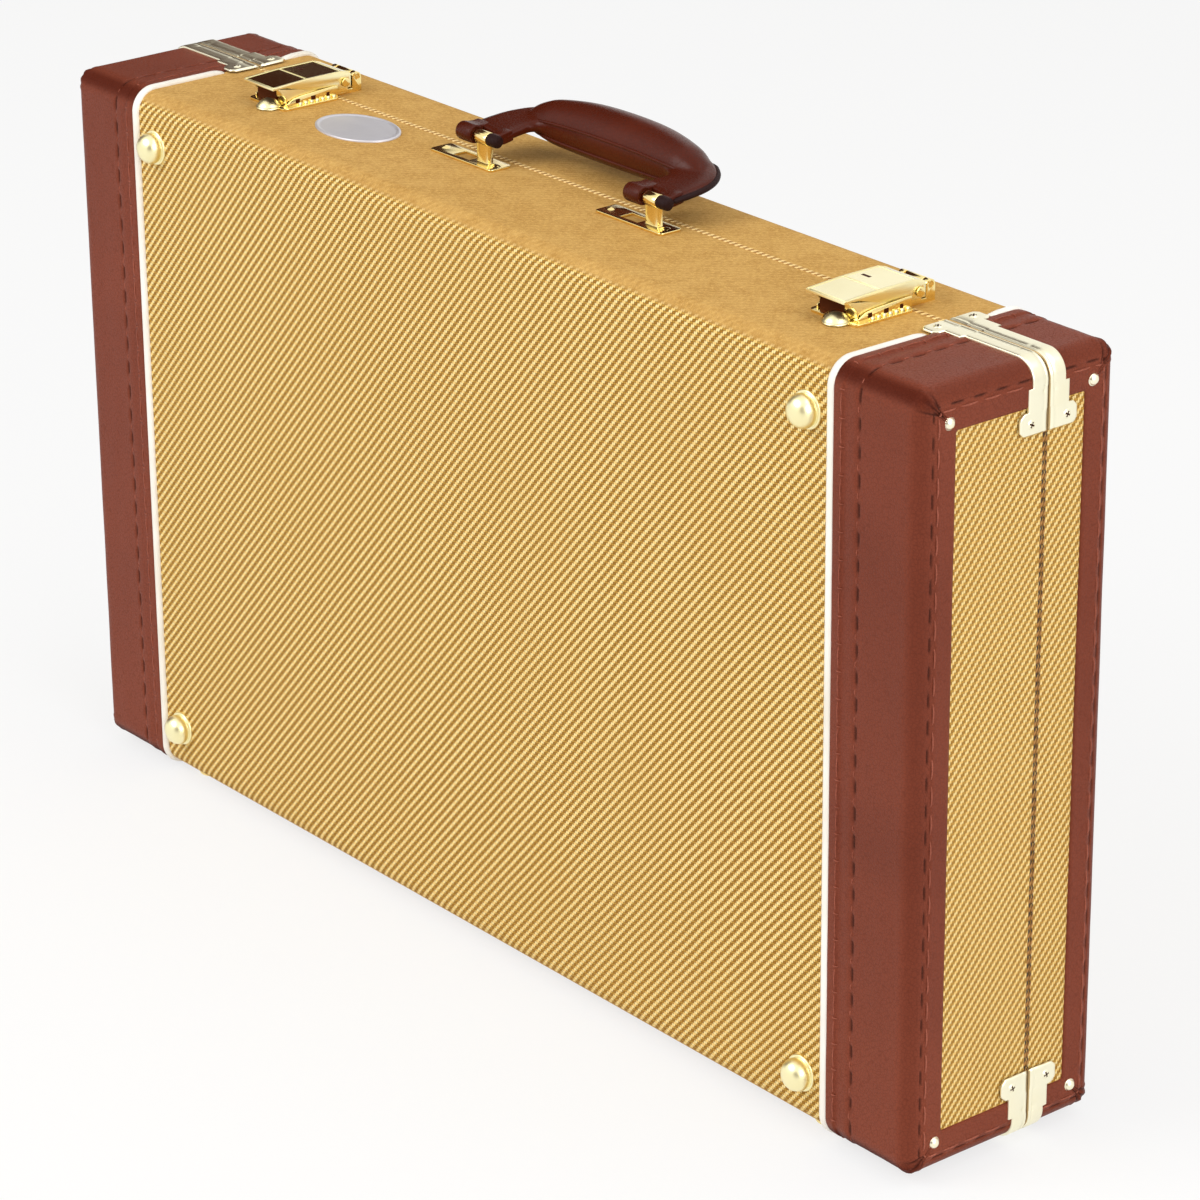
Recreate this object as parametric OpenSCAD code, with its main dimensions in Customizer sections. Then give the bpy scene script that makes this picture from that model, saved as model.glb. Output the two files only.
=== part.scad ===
// Tweed pedalboard case, stored upright on its hinge side with the handle on top.
// X runs along the case, Y from the footed face to the lid, Z up. Millimetres.

/* [Case] */
// Length over the leather ends
case_l = 612; // [480:1:800]
// Depth over the leather, both halves closed
case_d = 110; // [96:1:150]
// Height over the leather
case_h = 356; // [280:1:460]
// Depth of the base half, from its leather face to the seam
base_d = 69.5; // [62:0.5:74]
// Gap between the closed halves
seam_gap = 0.6; // [0.4:0.1:1]
// Radius of the edges along the length
long_edge_r = 11; // [8:0.5:12]
// Radius of the edges at the ends
end_edge_r = 9; // [7:0.5:11]

/* [Walls and skins] */
// Thickness of the four walls
wall_t = 7; // [5:0.5:9]
// Thickness of the two big panels
panel_t = 5; // [4:0.5:7]
// Thickness of the leather
leather_t = 1.6; // [1.2:0.1:2]
// Thickness of the tweed cloth
tweed_t = 0.8; // [0.5:0.1:1.1]
// Width of the leather band round each end
end_band = 52; // [40:1:70]
// Width of the leather border round the tweed window in each end
window_edge = 19; // [17:0.5:24]
// Width of the piping bead
piping_w = 4; // [3:0.5:8]
// How far the piping stands proud of the leather
piping_proud = 0.8; // [0.3:0.1:1]

/* [Inside] */
// Thickness of the plush lining
lining_t = 1.5; // [1:0.1:2.5]
// Thickness of the rim strip that guides the lid
rim_t = 2; // [1.5:0.1:3]
// Depth of the rim strip held in the base
rim_seat = 14; // [10:1:18]
// Height of the rim strip above the seam
rim_rise = 7; // [4:0.5:9]
// Clearance of the rim strip inside the lid
rim_clear = 0.6; // [0.4:0.1:1.2]
// Height of the battens under the pedal board
batten_h = 12; // [8:1:16]
// Width of the battens under the pedal board
batten_w = 20; // [14:1:30]
// Thickness of the pedal board
board_t = 6; // [4:0.5:9]
// Thickness of the carpet on the pedal board
carpet_t = 3; // [2:0.5:4]
// Clearance round the pedal board and the foam
tray_clear = 1; // [0.5:0.1:2]
// Thickness of the lid foam
foam_t = 15; // [10:1:18]
// Distance of the lid's lining from the top of the rim strip
lining_clear = 2; // [1:0.5:4]

/* [Clamps] */
// Thickness of the corner clamp plates
clamp_t = 1.1; // [0.8:0.1:1.4]
// Width of one half of a clamp's strip
clamp_strip = 9.2; // [7:0.1:10]
// Width of one half of a clamp at its neck
clamp_neck = 11.4; // [10.5:0.1:13]
// Width of one half of a clamp at its ear
clamp_ear = 16; // [15:0.1:19]
// Length of the neck and of the ear, each
clamp_step = 10; // [8:0.5:12]
// Reach of a clamp along the case from its end
clamp_reach_x = 60; // [56:1:70]
// Reach of a clamp over the end face
clamp_reach_z = 31; // [30:1:36]
// Cut at the corners of a clamp's ear
ear_cut = 3; // [1:0.5:3.5]
// Distance of a clamp's screw from the outer edge of its ear
screw_edge = 6; // [5:0.5:8]
// Radius of the screw heads
screw_r = 2.3; // [1.8:0.1:2.8]
// Height of the screw heads
screw_h = 0.9; // [0.6:0.1:1.2]

/* [Feet and studs] */
// Radius of the feet on the big face
foot_r = 8.5; // [8:0.5:13]
// Height of the feet on the big face
foot_h = 8.8; // [7:0.1:10]
// Height of a foot's rim
foot_rim_h = 1.4; // [1:0.1:2]
// Width of a foot's rim round its dome
foot_rim_w = 1; // [0.5:0.1:2]
// Height cut off a foot's dome, for the flat it rests on
foot_flat = 0.6; // [0.3:0.1:1]
// Distance of a foot's middle from the case's end
foot_inset_x = 69; // [66:1:90]
// Distance of a foot's middle from the top or bottom edge
foot_inset_z = 25; // [24:1:40]
// Radius of the studs at the end corners
stud_r = 2.8; // [2.5:0.1:4.5]
// Height of the studs at the end corners
stud_h = 2.2; // [1.5:0.1:3]
// Distance of a stud's middle from the edges of the end face
stud_inset = 15; // [14.5:0.1:16]
// Radius of the glides under the case
glide_r = 7; // [5:0.5:8]
// Height of the glides, measured from the leather
glide_h = 4.2; // [4.1:0.1:6]
// Distance of a base glide from the big face, and of a lid glide from its own
glide_inset = 18.5; // [18:0.5:20]

/* [Handle] */
// How far the handle and latches sit right of the middle
fitting_shift = 10; // [-20:1:20]
// Distance between the two handle posts
post_pitch = 121; // [100:1:150]
// Distance of the handle pin in front of the seam
pin_back = 12; // [11:0.5:16]
// Height of the handle pin over the tweed
pin_rise = 12.8; // [12:0.1:16]
// Radius of the handle pins
handle_pin_r = 1.55; // [1.2:0.05:2]
// Radius of the rolled eye on each post
post_eye_r = 3.2; // [2.8:0.1:4]
// Width of each post
post_w = 8.5; // [6:0.5:10]
// Thickness of each post
post_t = 3; // [2:0.2:4]
// Length of a handle plate
handle_plate_l = 46; // [40:1:56]
// Width of a handle plate
handle_plate_w = 12.5; // [11:0.5:15]
// Corner radius of a handle plate
handle_corner = 2; // [1:0.5:4]
// Length of the slot in a handle plate
slot_l = 12; // [6:1:12]
// Width of the slot in a handle plate
slot_w = 7; // [4:0.5:8]
// Distance of the slot from its post
slot_gap = 3; // [2:0.5:4]
// Distance of a handle plate's screws from its ends
plate_screw = 4; // [3.5:0.5:5]
// Thickness of the handle, latch and hinge plates
plate_t = 1.2; // [0.8:0.1:1.5]
// Offset of a post from the middle of its plate
post_offset = 11; // [6:0.5:12]
// Radius of the handle's rolled knuckles
knuckle_r = 4.4; // [4.2:0.1:5.6]
// Length of the long knuckle beside each post
knuckle_l = 10.5; // [8:0.5:18]
// Length of the short knuckle on the post's other side
short_knuckle_l = 7; // [4:0.5:9]
// Radius of that short knuckle
short_knuckle_r = 3; // [2.8:0.1:4.4]
// Height of the web between a knuckle and its ear
knuckle_web = 4; // [3.5:0.5:6]
// Distance of a handle pin's ends from the ends of its knuckles
pin_inset = 1; // [0.5:0.5:2]
// Height of the grip's middle above the pin
grip_rise = 37; // [34:1:46]
// Radius of the grip in the middle
grip_r = 12.5; // [8:0.5:13]
// Radius of the grip at its ends
grip_end_r = 9; // [6:0.5:10]
// Half length of the grip
grip_half = 54; // [40:1:56]
// Drop of the grip's ends below its middle
grip_drop = 4; // [3:0.5:10]
// Thickness of the flat ears that join the grip to its knuckles
ear_t = 5.6; // [4:0.2:7]
// Corner radius of an ear beside its knuckles
ear_root_r = 3; // [2:0.5:4]
// Radius of an ear's outer bulge
bulge_r = 12; // [8:0.5:13]
// Distance of the bulge's middle outside its post
bulge_out = 1; // [0:0.5:4]
// Height of the bulge's middle above the pin
bulge_rise = 21; // [15:1:28]
// Lean of the stored handle towards the lid, from upright
handle_lean = 82; // [60:1:84]

/* [Latches] */
// Distance of a latch from the case's end, without the shift
latch_inset = 103.5; // [95:0.5:160]
// Width of a latch's base plate
latch_w = 30; // [28:1:36]
// Width of a latch's keeper plate
keeper_w = 18; // [16:1:22]
// Reach of a latch's base plate in front of the seam
latch_front = 34; // [32:1:36]
// Reach of a latch's keeper plate behind the seam
latch_back = 16; // [16:0.5:19]
// Corner radius of a latch's base plate
latch_corner = 3; // [1:0.5:5]
// Corner radius of a latch's keeper plate
keeper_corner = 1; // [0.5:0.5:3]
// Distance of the latch plates from the middle of the seam
plate_edge = 0.8; // [0.6:0.1:1.5]
// Radius of the ball behind the domed tab
tab_r = 7.5; // [6:0.5:9]
// Depth of that ball's middle under the plate
tab_sink = 3.5; // [2.5:0.5:4.5]
// Distance of that ball's middle from the plate's front edge
tab_inset = 3; // [1:0.5:4]
// Reach of the catch in front of the seam
catch_reach = 24; // [20:0.5:26]
// Length of the catch
catch_l = 6; // [4:0.5:8]
// Width of the catch
catch_w = 10; // [6:0.5:14]
// Height of the catch on its plate
catch_h = 3; // [2:0.1:3.5]
// Distance of the hasp pin behind the seam
hasp_pin_y = 13; // [12:0.5:13.5]
// Lift of the hasp pin over a roll that lies on the plates
hasp_pin_lift = 3; // [0:0.5:3.5]
// Radius of the hasp's hinge barrel
barrel_r = 2.6; // [2.2:0.1:2.8]
// Radius of the latch pins
latch_pin_r = 1.2; // [0.9:0.05:1.4]
// Width between the hasp's ears, outside
hasp_w = 21; // [18:0.5:22]
// Half width of the hasp's hinge roll
hasp_roll = 5.5; // [4:0.1:6.5]
// Reach of the hasp's plate in front of the seam
hasp_reach = 14; // [10:0.5:16]
// Distance between the hasp's plate and its hinge roll
shoulder_gap = 1; // [0.5:0.1:2]
// Radius of the hasp's ears round the lever pin
hasp_ear_r = 2.6; // [2.2:0.1:2.8]
// Reach of a hasp ear's foot in front of the lever pin
hasp_ear_l = 6; // [4:0.5:8]
// Distance of the lever pin behind the seam
lever_pin_y = 4; // [2.5:0.5:5]
// Height of the lever pin over the tweed
lever_pin_z = 7; // [6.6:0.1:7.6]
// Height of the lever's top over the tweed
lever_h = 12.5; // [12:0.1:14]
// Reach of the lever's tip in front of the seam
lever_tip = 38; // [34:0.5:39]
// Thickness of the lever's sheet
lever_t = 1.2; // [0.8:0.1:1.5]
// Length of the lever's sloping front facet
lever_facet = 20; // [11:0.5:22]
// Drop of the lever's front facet
lever_drop = 1; // [0.5:0.1:3.4]
// Drop of the lever's back facet
lever_back_drop = 1.6; // [0.5:0.1:1.8]
// Distance of the lever's rear bend behind the seam
lever_bend_y = 2; // [-2:0.5:5]
// Reach of the lever's tail behind its pin
lever_tail = 3.4; // [3:0.1:4]
// Depth of the lever's cheeks below its pin
cheek_drop = 3; // [2.6:0.1:3.4]
// Distance of the cheeks from the lever's tip
cheek_inset = 8; // [6:0.5:10]
// Width of the lever's hook
hook_w = 9; // [6:0.5:12]
// Thickness of the lever's hook
hook_t = 3; // [2:0.2:4]
// Gap between the hook and the front of the catch
hook_gap = 1; // [0.5:0.1:1.5]
// Width of the rivet heads round the lever pin
rivet_w = 1; // [0.6:0.1:1.4]
// Thickness of those rivet heads
rivet_t = 0.8; // [0.5:0.1:1.2]
// Length of the badge plate
badge_l = 50; // [30:1:60]
// Width of the badge plate
badge_w = 34; // [20:1:36]
// Thickness of the badge plate
badge_t = 1; // [0.6:0.1:1.5]
// Distance of the badge from halfway between the left latch and the handle, to the left
badge_shift = 2; // [-10:0.5:10]
// Distance of the badge from the middle of the case's depth, towards the feet
badge_y = 9; // [6:0.5:12]

/* [Hinges] */
// Distance of a hinge's middle from the case's end
hinge_inset = 136; // [110:1:200]
// Length of a hinge
hinge_l = 60; // [40:1:80]
// Width of one hinge leaf, from the pin
leaf_w = 22; // [16:1:26]
// Radius of the hinge barrels
hinge_r = 2.2; // [2:0.1:2.4]
// Radius of the hinge pins
hinge_pin_r = 1.1; // [0.9:0.05:1.2]
// Radial clearance of every pin in its bores
pin_fit = 0.05; // [0.02:0.01:0.1]
// End clearance between knuckles
end_play = 0.3; // [0.2:0.05:0.5]

/* [Hidden] */
$fn = 48;

tweed_color = [0.84, 0.66, 0.34];
leather_color = [0.42, 0.20, 0.14];
piping_color = [0.95, 0.93, 0.86];
gold_color = [0.90, 0.76, 0.42];
wood_color = [0.80, 0.66, 0.46];
lining_color = [0.16, 0.14, 0.14];

// Where the halves meet, and how far the tweed lies under the leather
seam_y = base_d - case_d / 2;
tweed_inset = leather_t - tweed_t;
tweed_top = case_h - tweed_inset;
core_x = case_l / 2 - leather_t;
cavity_x = core_x - wall_t;
cavity_z0 = leather_t + wall_t;
cavity_z1 = case_h - cavity_z0;
base_floor = -case_d / 2 + leather_t + panel_t;
lid_floor = case_d / 2 - leather_t - panel_t;
band_x = case_l / 2 - end_band;
tweed_x = band_x - piping_w;
over = 20;

// Place of the whole case in its box: middle of the depth, glides on the ground
front_reach = case_d / 2 - tweed_inset + foot_h;
back_reach = case_d / 2 + piping_proud;
stand = [0, (front_reach - back_reach) / 2, glide_h];

hinge_z = tweed_inset - hinge_r;
handle_pin_y = seam_y - pin_back;
handle_pin_z = tweed_top + pin_rise;
hasp_z = plate_t + end_play;
keeper_pin_z = hasp_z + barrel_r + hasp_pin_lift;
clamp_gap = seam_gap / 2;
clamp_screw = clamp_ear - screw_edge;
tray_x = cavity_x - lining_t - tray_clear;
tray_z0 = cavity_z0 + lining_t + tray_clear;
tray_z1 = cavity_z1 - lining_t - tray_clear;
board_y = base_floor + lining_t + batten_h;
long_x0 = -post_w / 2 - end_play - knuckle_l;
long_x1 = -post_w / 2 - end_play;
short_x0 = post_w / 2 + end_play;
short_x1 = short_x0 + short_knuckle_l;
latch_pitch = case_l - 2 * latch_inset;
hinge_pitch = case_l - 2 * hinge_inset;
left_latch_x = fitting_shift - latch_pitch / 2 + latch_w / 2;
left_plate_x = fitting_shift - post_pitch / 2 - post_offset - handle_plate_l / 2;
badge_x = (left_latch_x + left_plate_x) / 2 - badge_shift;
lever_x = hasp_w / 2 + end_play + lever_t;
lever_front_y = lever_facet - lever_tip;
lever_tail_y = lever_pin_y + lever_tail;
knuckle_third = hinge_l / 3;

module span(x0, x1, y0, y1, z0, z1) {
    translate([x0, y0, z0]) cube([x1 - x0, y1 - y0, z1 - z0]);
}

// Moves a piece from the case's own place to its place on the ground
module stood() {
    translate(stand) children();
}

// Cap of a ball, r wide and h high, with its top cut off
module dome(r, h, cut = 0) {
    ball = (r * r + h * h) / (2 * h);
    intersection() {
        translate([0, 0, h - ball]) sphere(r = ball);
        cylinder(r = r, h = h - cut);
    }
}

// Cylinder along X from x0 to x1
module rod(r, x0, x1, y, z) {
    translate([x0, y, z]) rotate([0, 90, 0]) cylinder(r = r, h = x1 - x0);
}

module rounded_rect(w, h, r) {
    square([w - 2 * r, h], center = true);
    square([w, h - 2 * r], center = true);
    for (sx = [-1, 1], sy = [-1, 1])
        translate([sx * (w / 2 - r), sy * (h / 2 - r)]) circle(r = r);
}

// The case's outside, shrunk by i on every face
module case_block(i) {
    translate([0, 0, case_h / 2]) intersection() {
        rotate([90, 0, 90]) linear_extrude(height = case_l - 2 * i, center = true)
            rounded_rect(case_d - 2 * i, case_h - 2 * i, long_edge_r - i);
        rotate([90, 0, 0]) linear_extrude(height = case_d - 2 * i, center = true)
            rounded_rect(case_l - 2 * i, case_h - 2 * i, end_edge_r - i);
        linear_extrude(height = case_h - 2 * i, center = true)
            rounded_rect(case_l - 2 * i, case_d - 2 * i, end_edge_r - i);
    }
}

function half_y0(lid) = lid ? seam_y + seam_gap / 2 : -case_d / 2 - over;
function half_y1(lid) = lid ? case_d / 2 + over : seam_y - seam_gap / 2;
function wall_y0(lid) = lid ? seam_y + seam_gap / 2 : base_floor;
function wall_y1(lid) = lid ? lid_floor : seam_y - seam_gap / 2;

// A skin of the case between x0 and x1, on one half
module skin(lid, outer, inner, x0, x1) {
    intersection() {
        difference() {
            case_block(outer);
            case_block(inner);
        }
        span(x0, x1, half_y0(lid), half_y1(lid), -over, case_h + over);
    }
}

// Mirrored to the left end when side is -1
module at_end(side) {
    if (side < 0) mirror([1, 0, 0]) children();
    else children();
}

module core_piece(x0, x1, y0, y1, z0, z1) {
    intersection() {
        case_block(leather_t);
        span(x0, x1, y0, y1, z0, z1);
    }
}

module top_wall(lid) {
    core_piece(-core_x, core_x, wall_y0(lid), wall_y1(lid), cavity_z1, case_h);
}

module bottom_wall(lid) {
    core_piece(-core_x, core_x, wall_y0(lid), wall_y1(lid), 0, cavity_z0);
}

module end_wall(lid, side) {
    at_end(side) core_piece(cavity_x, core_x, wall_y0(lid), wall_y1(lid), cavity_z0, cavity_z1);
}

module body_tweed(lid) {
    skin(lid, tweed_inset, leather_t, -tweed_x, tweed_x);
}

// The window in an end face, cut or filled from x0 to x1
module window(lid, x0, x1) {
    y0 = lid ? seam_y + seam_gap / 2 : window_edge - case_d / 2;
    y1 = lid ? case_d / 2 - window_edge : seam_y - seam_gap / 2;
    span(x0, x1, y0, y1, window_edge, case_h - window_edge);
}

module end_tweed(lid, side) {
    at_end(side) window(lid, core_x, core_x + tweed_t);
}

module end_leather(lid, side) {
    at_end(side) difference() {
        skin(lid, 0, leather_t, band_x, case_l / 2);
        window(lid, core_x - 1, case_l / 2 + 1);
        translate([0, lid ? -1 : 1, 0]) window(lid, core_x - 1, case_l / 2 + 1);
    }
}

// The bead is flattened under the clamps, level with the leather
module end_piping(lid, side) {
    y0 = lid ? seam_y : seam_y - clamp_ear;
    y1 = lid ? seam_y + clamp_ear : seam_y;
    at_end(side) difference() {
        skin(lid, -piping_proud, leather_t, tweed_x, band_x);
        span(tweed_x - 1, band_x + 1, y0, y1, case_h, case_h + over);
        span(tweed_x - 1, band_x + 1, y0, y1, -over, 0);
    }
}

// Section of a rim strip: depth from the cavity's wall, then place across the seam
module rim_section() {
    edge_y = seam_y - seam_gap / 2;
    polygon([[0, edge_y - rim_seat], [rim_t, edge_y - rim_seat], [rim_t, edge_y + rim_rise],
        [rim_clear, edge_y + rim_rise], [rim_clear, edge_y], [0, edge_y]]);
}

// Four strips seated in the base, stepped in above the seam so that the lid clears them
module rim() {
    z0 = cavity_z0 + rim_t + end_play;
    z1 = cavity_z1 - rim_t - end_play;
    for (high = [0, 1])
        translate([0, 0, high * case_h]) mirror([0, 0, high]) translate([cavity_x, 0, cavity_z0])
            rotate([0, -90, 0]) linear_extrude(height = 2 * cavity_x) rim_section();
    for (side = [-1, 1])
        at_end(side) translate([cavity_x, 0, z0]) mirror([1, 0, 0])
            linear_extrude(height = z1 - z0) rim_section();
}

module lining(lid) {
    y0 = lid ? seam_y - seam_gap / 2 + rim_rise + lining_clear : base_floor;
    y1 = lid ? lid_floor : seam_y - seam_gap / 2 - rim_seat;
    floor_y = lid ? lid_floor - lining_t : base_floor;
    difference() {
        span(-cavity_x, cavity_x, y0, y1, cavity_z0, cavity_z1);
        span(lining_t - cavity_x, cavity_x - lining_t, y0 - 1, y1 + 1, cavity_z0 + lining_t,
            cavity_z1 - lining_t);
    }
    span(-cavity_x, cavity_x, floor_y, floor_y + lining_t, cavity_z0, cavity_z1);
}

module tray_slab(y0, y1) {
    span(-tray_x, tray_x, y0, y1, tray_z0, tray_z1);
}

module battens() {
    for (s = [-1, 0, 1])
        translate([s * (tray_x - batten_w), 0, 0])
            span(-batten_w / 2, batten_w / 2, base_floor + lining_t, board_y, tray_z0, tray_z1);
}

// Outline of half a clamp, from the bend (0) to its ear (reach), beside the seam
module clamp_outline(reach) {
    neck_at = reach - 2 * clamp_step;
    ear_at = reach - clamp_step;
    polygon([[0, clamp_gap], [0, clamp_strip], [neck_at, clamp_strip], [neck_at, clamp_neck],
        [ear_at, clamp_neck], [ear_at, clamp_ear - ear_cut], [ear_at + ear_cut, clamp_ear],
        [reach - ear_cut, clamp_ear], [reach, clamp_ear - ear_cut], [reach, clamp_gap]]);
}

// Half a clamp at the right end's top edge, on the lid's side of the seam
module half_clamp() {
    bend_x = case_l / 2 - end_edge_r;
    bend_z = case_h - end_edge_r;
    translate([bend_x, seam_y, case_h]) mirror([1, 0, 0]) linear_extrude(height = clamp_t)
        clamp_outline(clamp_reach_x - end_edge_r);
    translate([case_l / 2, seam_y, bend_z]) rotate([0, 90, 0]) linear_extrude(height = clamp_t)
        clamp_outline(clamp_reach_z - end_edge_r);
    translate([bend_x, seam_y + clamp_gap, bend_z]) intersection() {
        rotate([-90, 0, 0]) difference() {
            cylinder(r = end_edge_r + clamp_t, h = clamp_strip - clamp_gap);
            translate([0, 0, -1]) cylinder(r = end_edge_r, h = clamp_strip - clamp_gap + 2);
        }
        cube([end_edge_r + clamp_t, clamp_strip, end_edge_r + clamp_t]);
    }
}

// Copies for the top and bottom edges; the base's halves are mirrored at the seam
module clamp_place(lid, side) {
    for (low = [0, 1])
        translate([0, 0, low * case_h]) mirror([0, 0, low])
            at_end(side) translate([0, seam_y, 0]) mirror([0, lid ? 0 : 1, 0])
                translate([0, -seam_y, 0]) children();
}

module screw_head() {
    dome(screw_r, screw_h);
}

module half_clamp_screws() {
    translate([case_l / 2 - clamp_reach_x + clamp_step / 2, seam_y + clamp_screw,
        case_h + clamp_t]) screw_head();
    translate([case_l / 2 + clamp_t, seam_y + clamp_screw, case_h - clamp_reach_z + clamp_step / 2])
        rotate([0, 90, 0]) screw_head();
}

module all_screws(lid) {
    for (side = [-1, 1]) clamp_place(lid, side) half_clamp_screws();
}

module foot() {
    cylinder(r = foot_r, h = foot_rim_h);
    translate([0, 0, foot_rim_h])
        dome(foot_r - foot_rim_w, foot_h + foot_flat - foot_rim_h, foot_flat);
}

module feet() {
    for (sx = [-1, 1], z = [foot_inset_z, case_h - foot_inset_z])
        translate([sx * (case_l / 2 - foot_inset_x), tweed_inset - case_d / 2, z])
            rotate([90, 0, 0]) foot();
}

module end_studs(lid) {
    y = lid ? case_d / 2 - stud_inset : stud_inset - case_d / 2;
    for (side = [-1, 1], z = [stud_inset, case_h - stud_inset])
        at_end(side) translate([case_l / 2, y, z]) rotate([0, 90, 0]) dome(stud_r, stud_h);
}

module glides(lid) {
    y = lid ? case_d / 2 - glide_inset : glide_inset - case_d / 2;
    for (sx = [-1, 1])
        translate([sx * (case_l / 2 - foot_inset_x), y, -glide_h])
            cylinder(r = glide_r, h = glide_h + tweed_inset);
}

// Handle plate with its post, middle of the post at the origin, on the tweed
module handle_plate() {
    end_x = handle_plate_l / 2 - plate_screw;
    difference() {
        translate([-post_offset, 0, 0]) linear_extrude(height = plate_t)
            rounded_rect(handle_plate_l, handle_plate_w, handle_corner);
        span(-post_w / 2 - slot_gap - slot_l, -post_w / 2 - slot_gap, -slot_w / 2, slot_w / 2,
            -1, plate_t + 1);
    }
    difference() {
        union() {
            span(-post_w / 2, post_w / 2, -post_t / 2, post_t / 2, 0, pin_rise);
            rod(post_eye_r, -post_w / 2, post_w / 2, 0, pin_rise);
        }
        rod(handle_pin_r + pin_fit, -post_w, post_w, 0, pin_rise);
    }
    for (x = [-end_x, end_x]) translate([x - post_offset, 0, plate_t]) screw_head();
}

module at_posts() {
    for (s = [-1, 1])
        translate([fitting_shift + s * post_pitch / 2, handle_pin_y, tweed_top]) children();
}

// Handle in its own frame: pin along X at the origin, grip towards Z
module handle_frame() {
    translate([fitting_shift, handle_pin_y, handle_pin_z]) rotate([-handle_lean, 0, 0])
        children();
}

function grip_x(k) = grip_half * k / 2;
function grip_z(k) = grip_rise - grip_drop * k * k / 4;
function grip_rad(k) = grip_r - (grip_r - grip_end_r) * k * k / 4;

module grip_ball(k) {
    translate([grip_x(k), 0, grip_z(k)]) sphere(r = grip_rad(k), $fn = 32);
}

// Flat ear from the knuckles beside a post up to the grip's end
module handle_ear(s) {
    x = s * post_pitch / 2;
    root_z = knuckle_r + ear_root_r;
    rotate([90, 0, 0]) linear_extrude(height = ear_t, center = true) hull() {
        translate([x + long_x0 + ear_root_r, root_z]) circle(r = ear_root_r, $fn = 32);
        translate([x + short_x1 - ear_root_r, root_z]) circle(r = ear_root_r, $fn = 32);
        translate([x + s * bulge_out, bulge_rise]) circle(r = bulge_r, $fn = 32);
        translate([s * grip_half, grip_z(2)]) circle(r = grip_end_r, $fn = 32);
    }
}

module grip() {
    handle_frame() {
        for (k = [-2:1]) hull() {
            grip_ball(k);
            grip_ball(k + 1);
        }
        handle_ear(-1);
        handle_ear(1);
        for (s = [-1, 1]) translate([s * post_pitch / 2, 0, 0]) {
            knuckle(knuckle_r, long_x0, long_x1);
            knuckle(short_knuckle_r, short_x0, short_x1);
        }
    }
}

// A knuckle with the web that ties it to the ear
module knuckle(radius, x0, x1) {
    difference() {
        union() {
            rod(radius, x0, x1, 0, 0);
            span(x0, x1, -ear_t / 2, ear_t / 2, 0, knuckle_r + knuckle_web);
        }
        rod(handle_pin_r + pin_fit, x0 - 1, x1 + 1, 0, 0);
    }
}

module pins_of_handle() {
    handle_frame() for (s = [-1, 1]) translate([s * post_pitch / 2, 0, 0])
        rod(handle_pin_r, long_x0 + pin_inset, short_x1 - pin_inset, 0, 0);
}

module at_latch(s) {
    translate([fitting_shift + s * latch_pitch / 2, seam_y, tweed_top]) children();
}

module latch_plate() {
    tab_y = tab_inset - latch_front;
    translate([0, -(latch_front + plate_edge) / 2, 0]) linear_extrude(height = plate_t)
        rounded_rect(latch_w, latch_front - plate_edge, latch_corner);
    intersection() {
        translate([0, tab_y, -tab_sink]) sphere(r = tab_r);
        span(-tab_r, tab_r, tab_y - tab_r, tab_y + tab_r, 0, tab_r);
    }
    span(-catch_w / 2, catch_w / 2, -catch_reach, catch_l - catch_reach, plate_t,
        plate_t + catch_h);
}

module latch_keeper() {
    ear_x = hasp_roll + end_play;
    translate([0, (latch_back + plate_edge) / 2, 0]) linear_extrude(height = plate_t)
        rounded_rect(keeper_w, latch_back - plate_edge, keeper_corner);
    for (s = [-1, 1]) at_end(s) difference() {
        union() {
            rod(barrel_r, ear_x, keeper_w / 2, hasp_pin_y, keeper_pin_z);
            span(ear_x, keeper_w / 2, hasp_pin_y - barrel_r, hasp_pin_y + barrel_r, 0,
                keeper_pin_z);
        }
        rod(latch_pin_r + pin_fit, 0, keeper_w, hasp_pin_y, keeper_pin_z);
    }
}

// Plate that reaches over the seam, with a raised hinge roll behind and two ears for the lever
module hasp() {
    shoulder_y = hasp_pin_y - barrel_r - shoulder_gap;
    web_y = hasp_pin_y - barrel_r + lever_t;
    difference() {
        union() {
            span(-hasp_w / 2, hasp_w / 2, -hasp_reach, shoulder_y, hasp_z, hasp_z + lever_t);
            span(-hasp_roll, hasp_roll, shoulder_y - 1, web_y, hasp_z, hasp_z + lever_t);
            span(-hasp_roll, hasp_roll, hasp_pin_y - barrel_r, web_y, hasp_z, keeper_pin_z);
            rod(barrel_r, -hasp_roll, hasp_roll, hasp_pin_y, keeper_pin_z);
        }
        rod(latch_pin_r + pin_fit, -keeper_w, keeper_w, hasp_pin_y, keeper_pin_z);
    }
    for (s = [-1, 1]) at_end(s) difference() {
        union() {
            span(hasp_w / 2 - lever_t, hasp_w / 2, lever_pin_y - hasp_ear_l,
                lever_pin_y + hasp_ear_r, hasp_z, lever_pin_z);
            rod(hasp_ear_r, hasp_w / 2 - lever_t, hasp_w / 2, lever_pin_y, lever_pin_z);
        }
        rod(latch_pin_r + pin_fit, 0, latch_w, lever_pin_y, lever_pin_z);
    }
}

module lever_pin() {
    rivet_x = lever_x + end_play;
    rod(latch_pin_r, -rivet_x, rivet_x, lever_pin_y, lever_pin_z);
    for (s = [-1, 1]) at_end(s)
        rod(latch_pin_r + rivet_w, rivet_x, rivet_x + rivet_t, lever_pin_y, lever_pin_z);
}

// Side outline of the lever's bent sheet, in three flats
module lever_sheet() {
    low = lever_h - lever_t;
    polygon([[-lever_tip, lever_h - lever_drop], [lever_front_y, lever_h], [lever_bend_y, lever_h],
        [lever_tail_y, lever_h - lever_back_drop], [lever_tail_y, low - lever_back_drop],
        [lever_bend_y, low], [lever_front_y, low], [-lever_tip, low - lever_drop]]);
}

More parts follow.
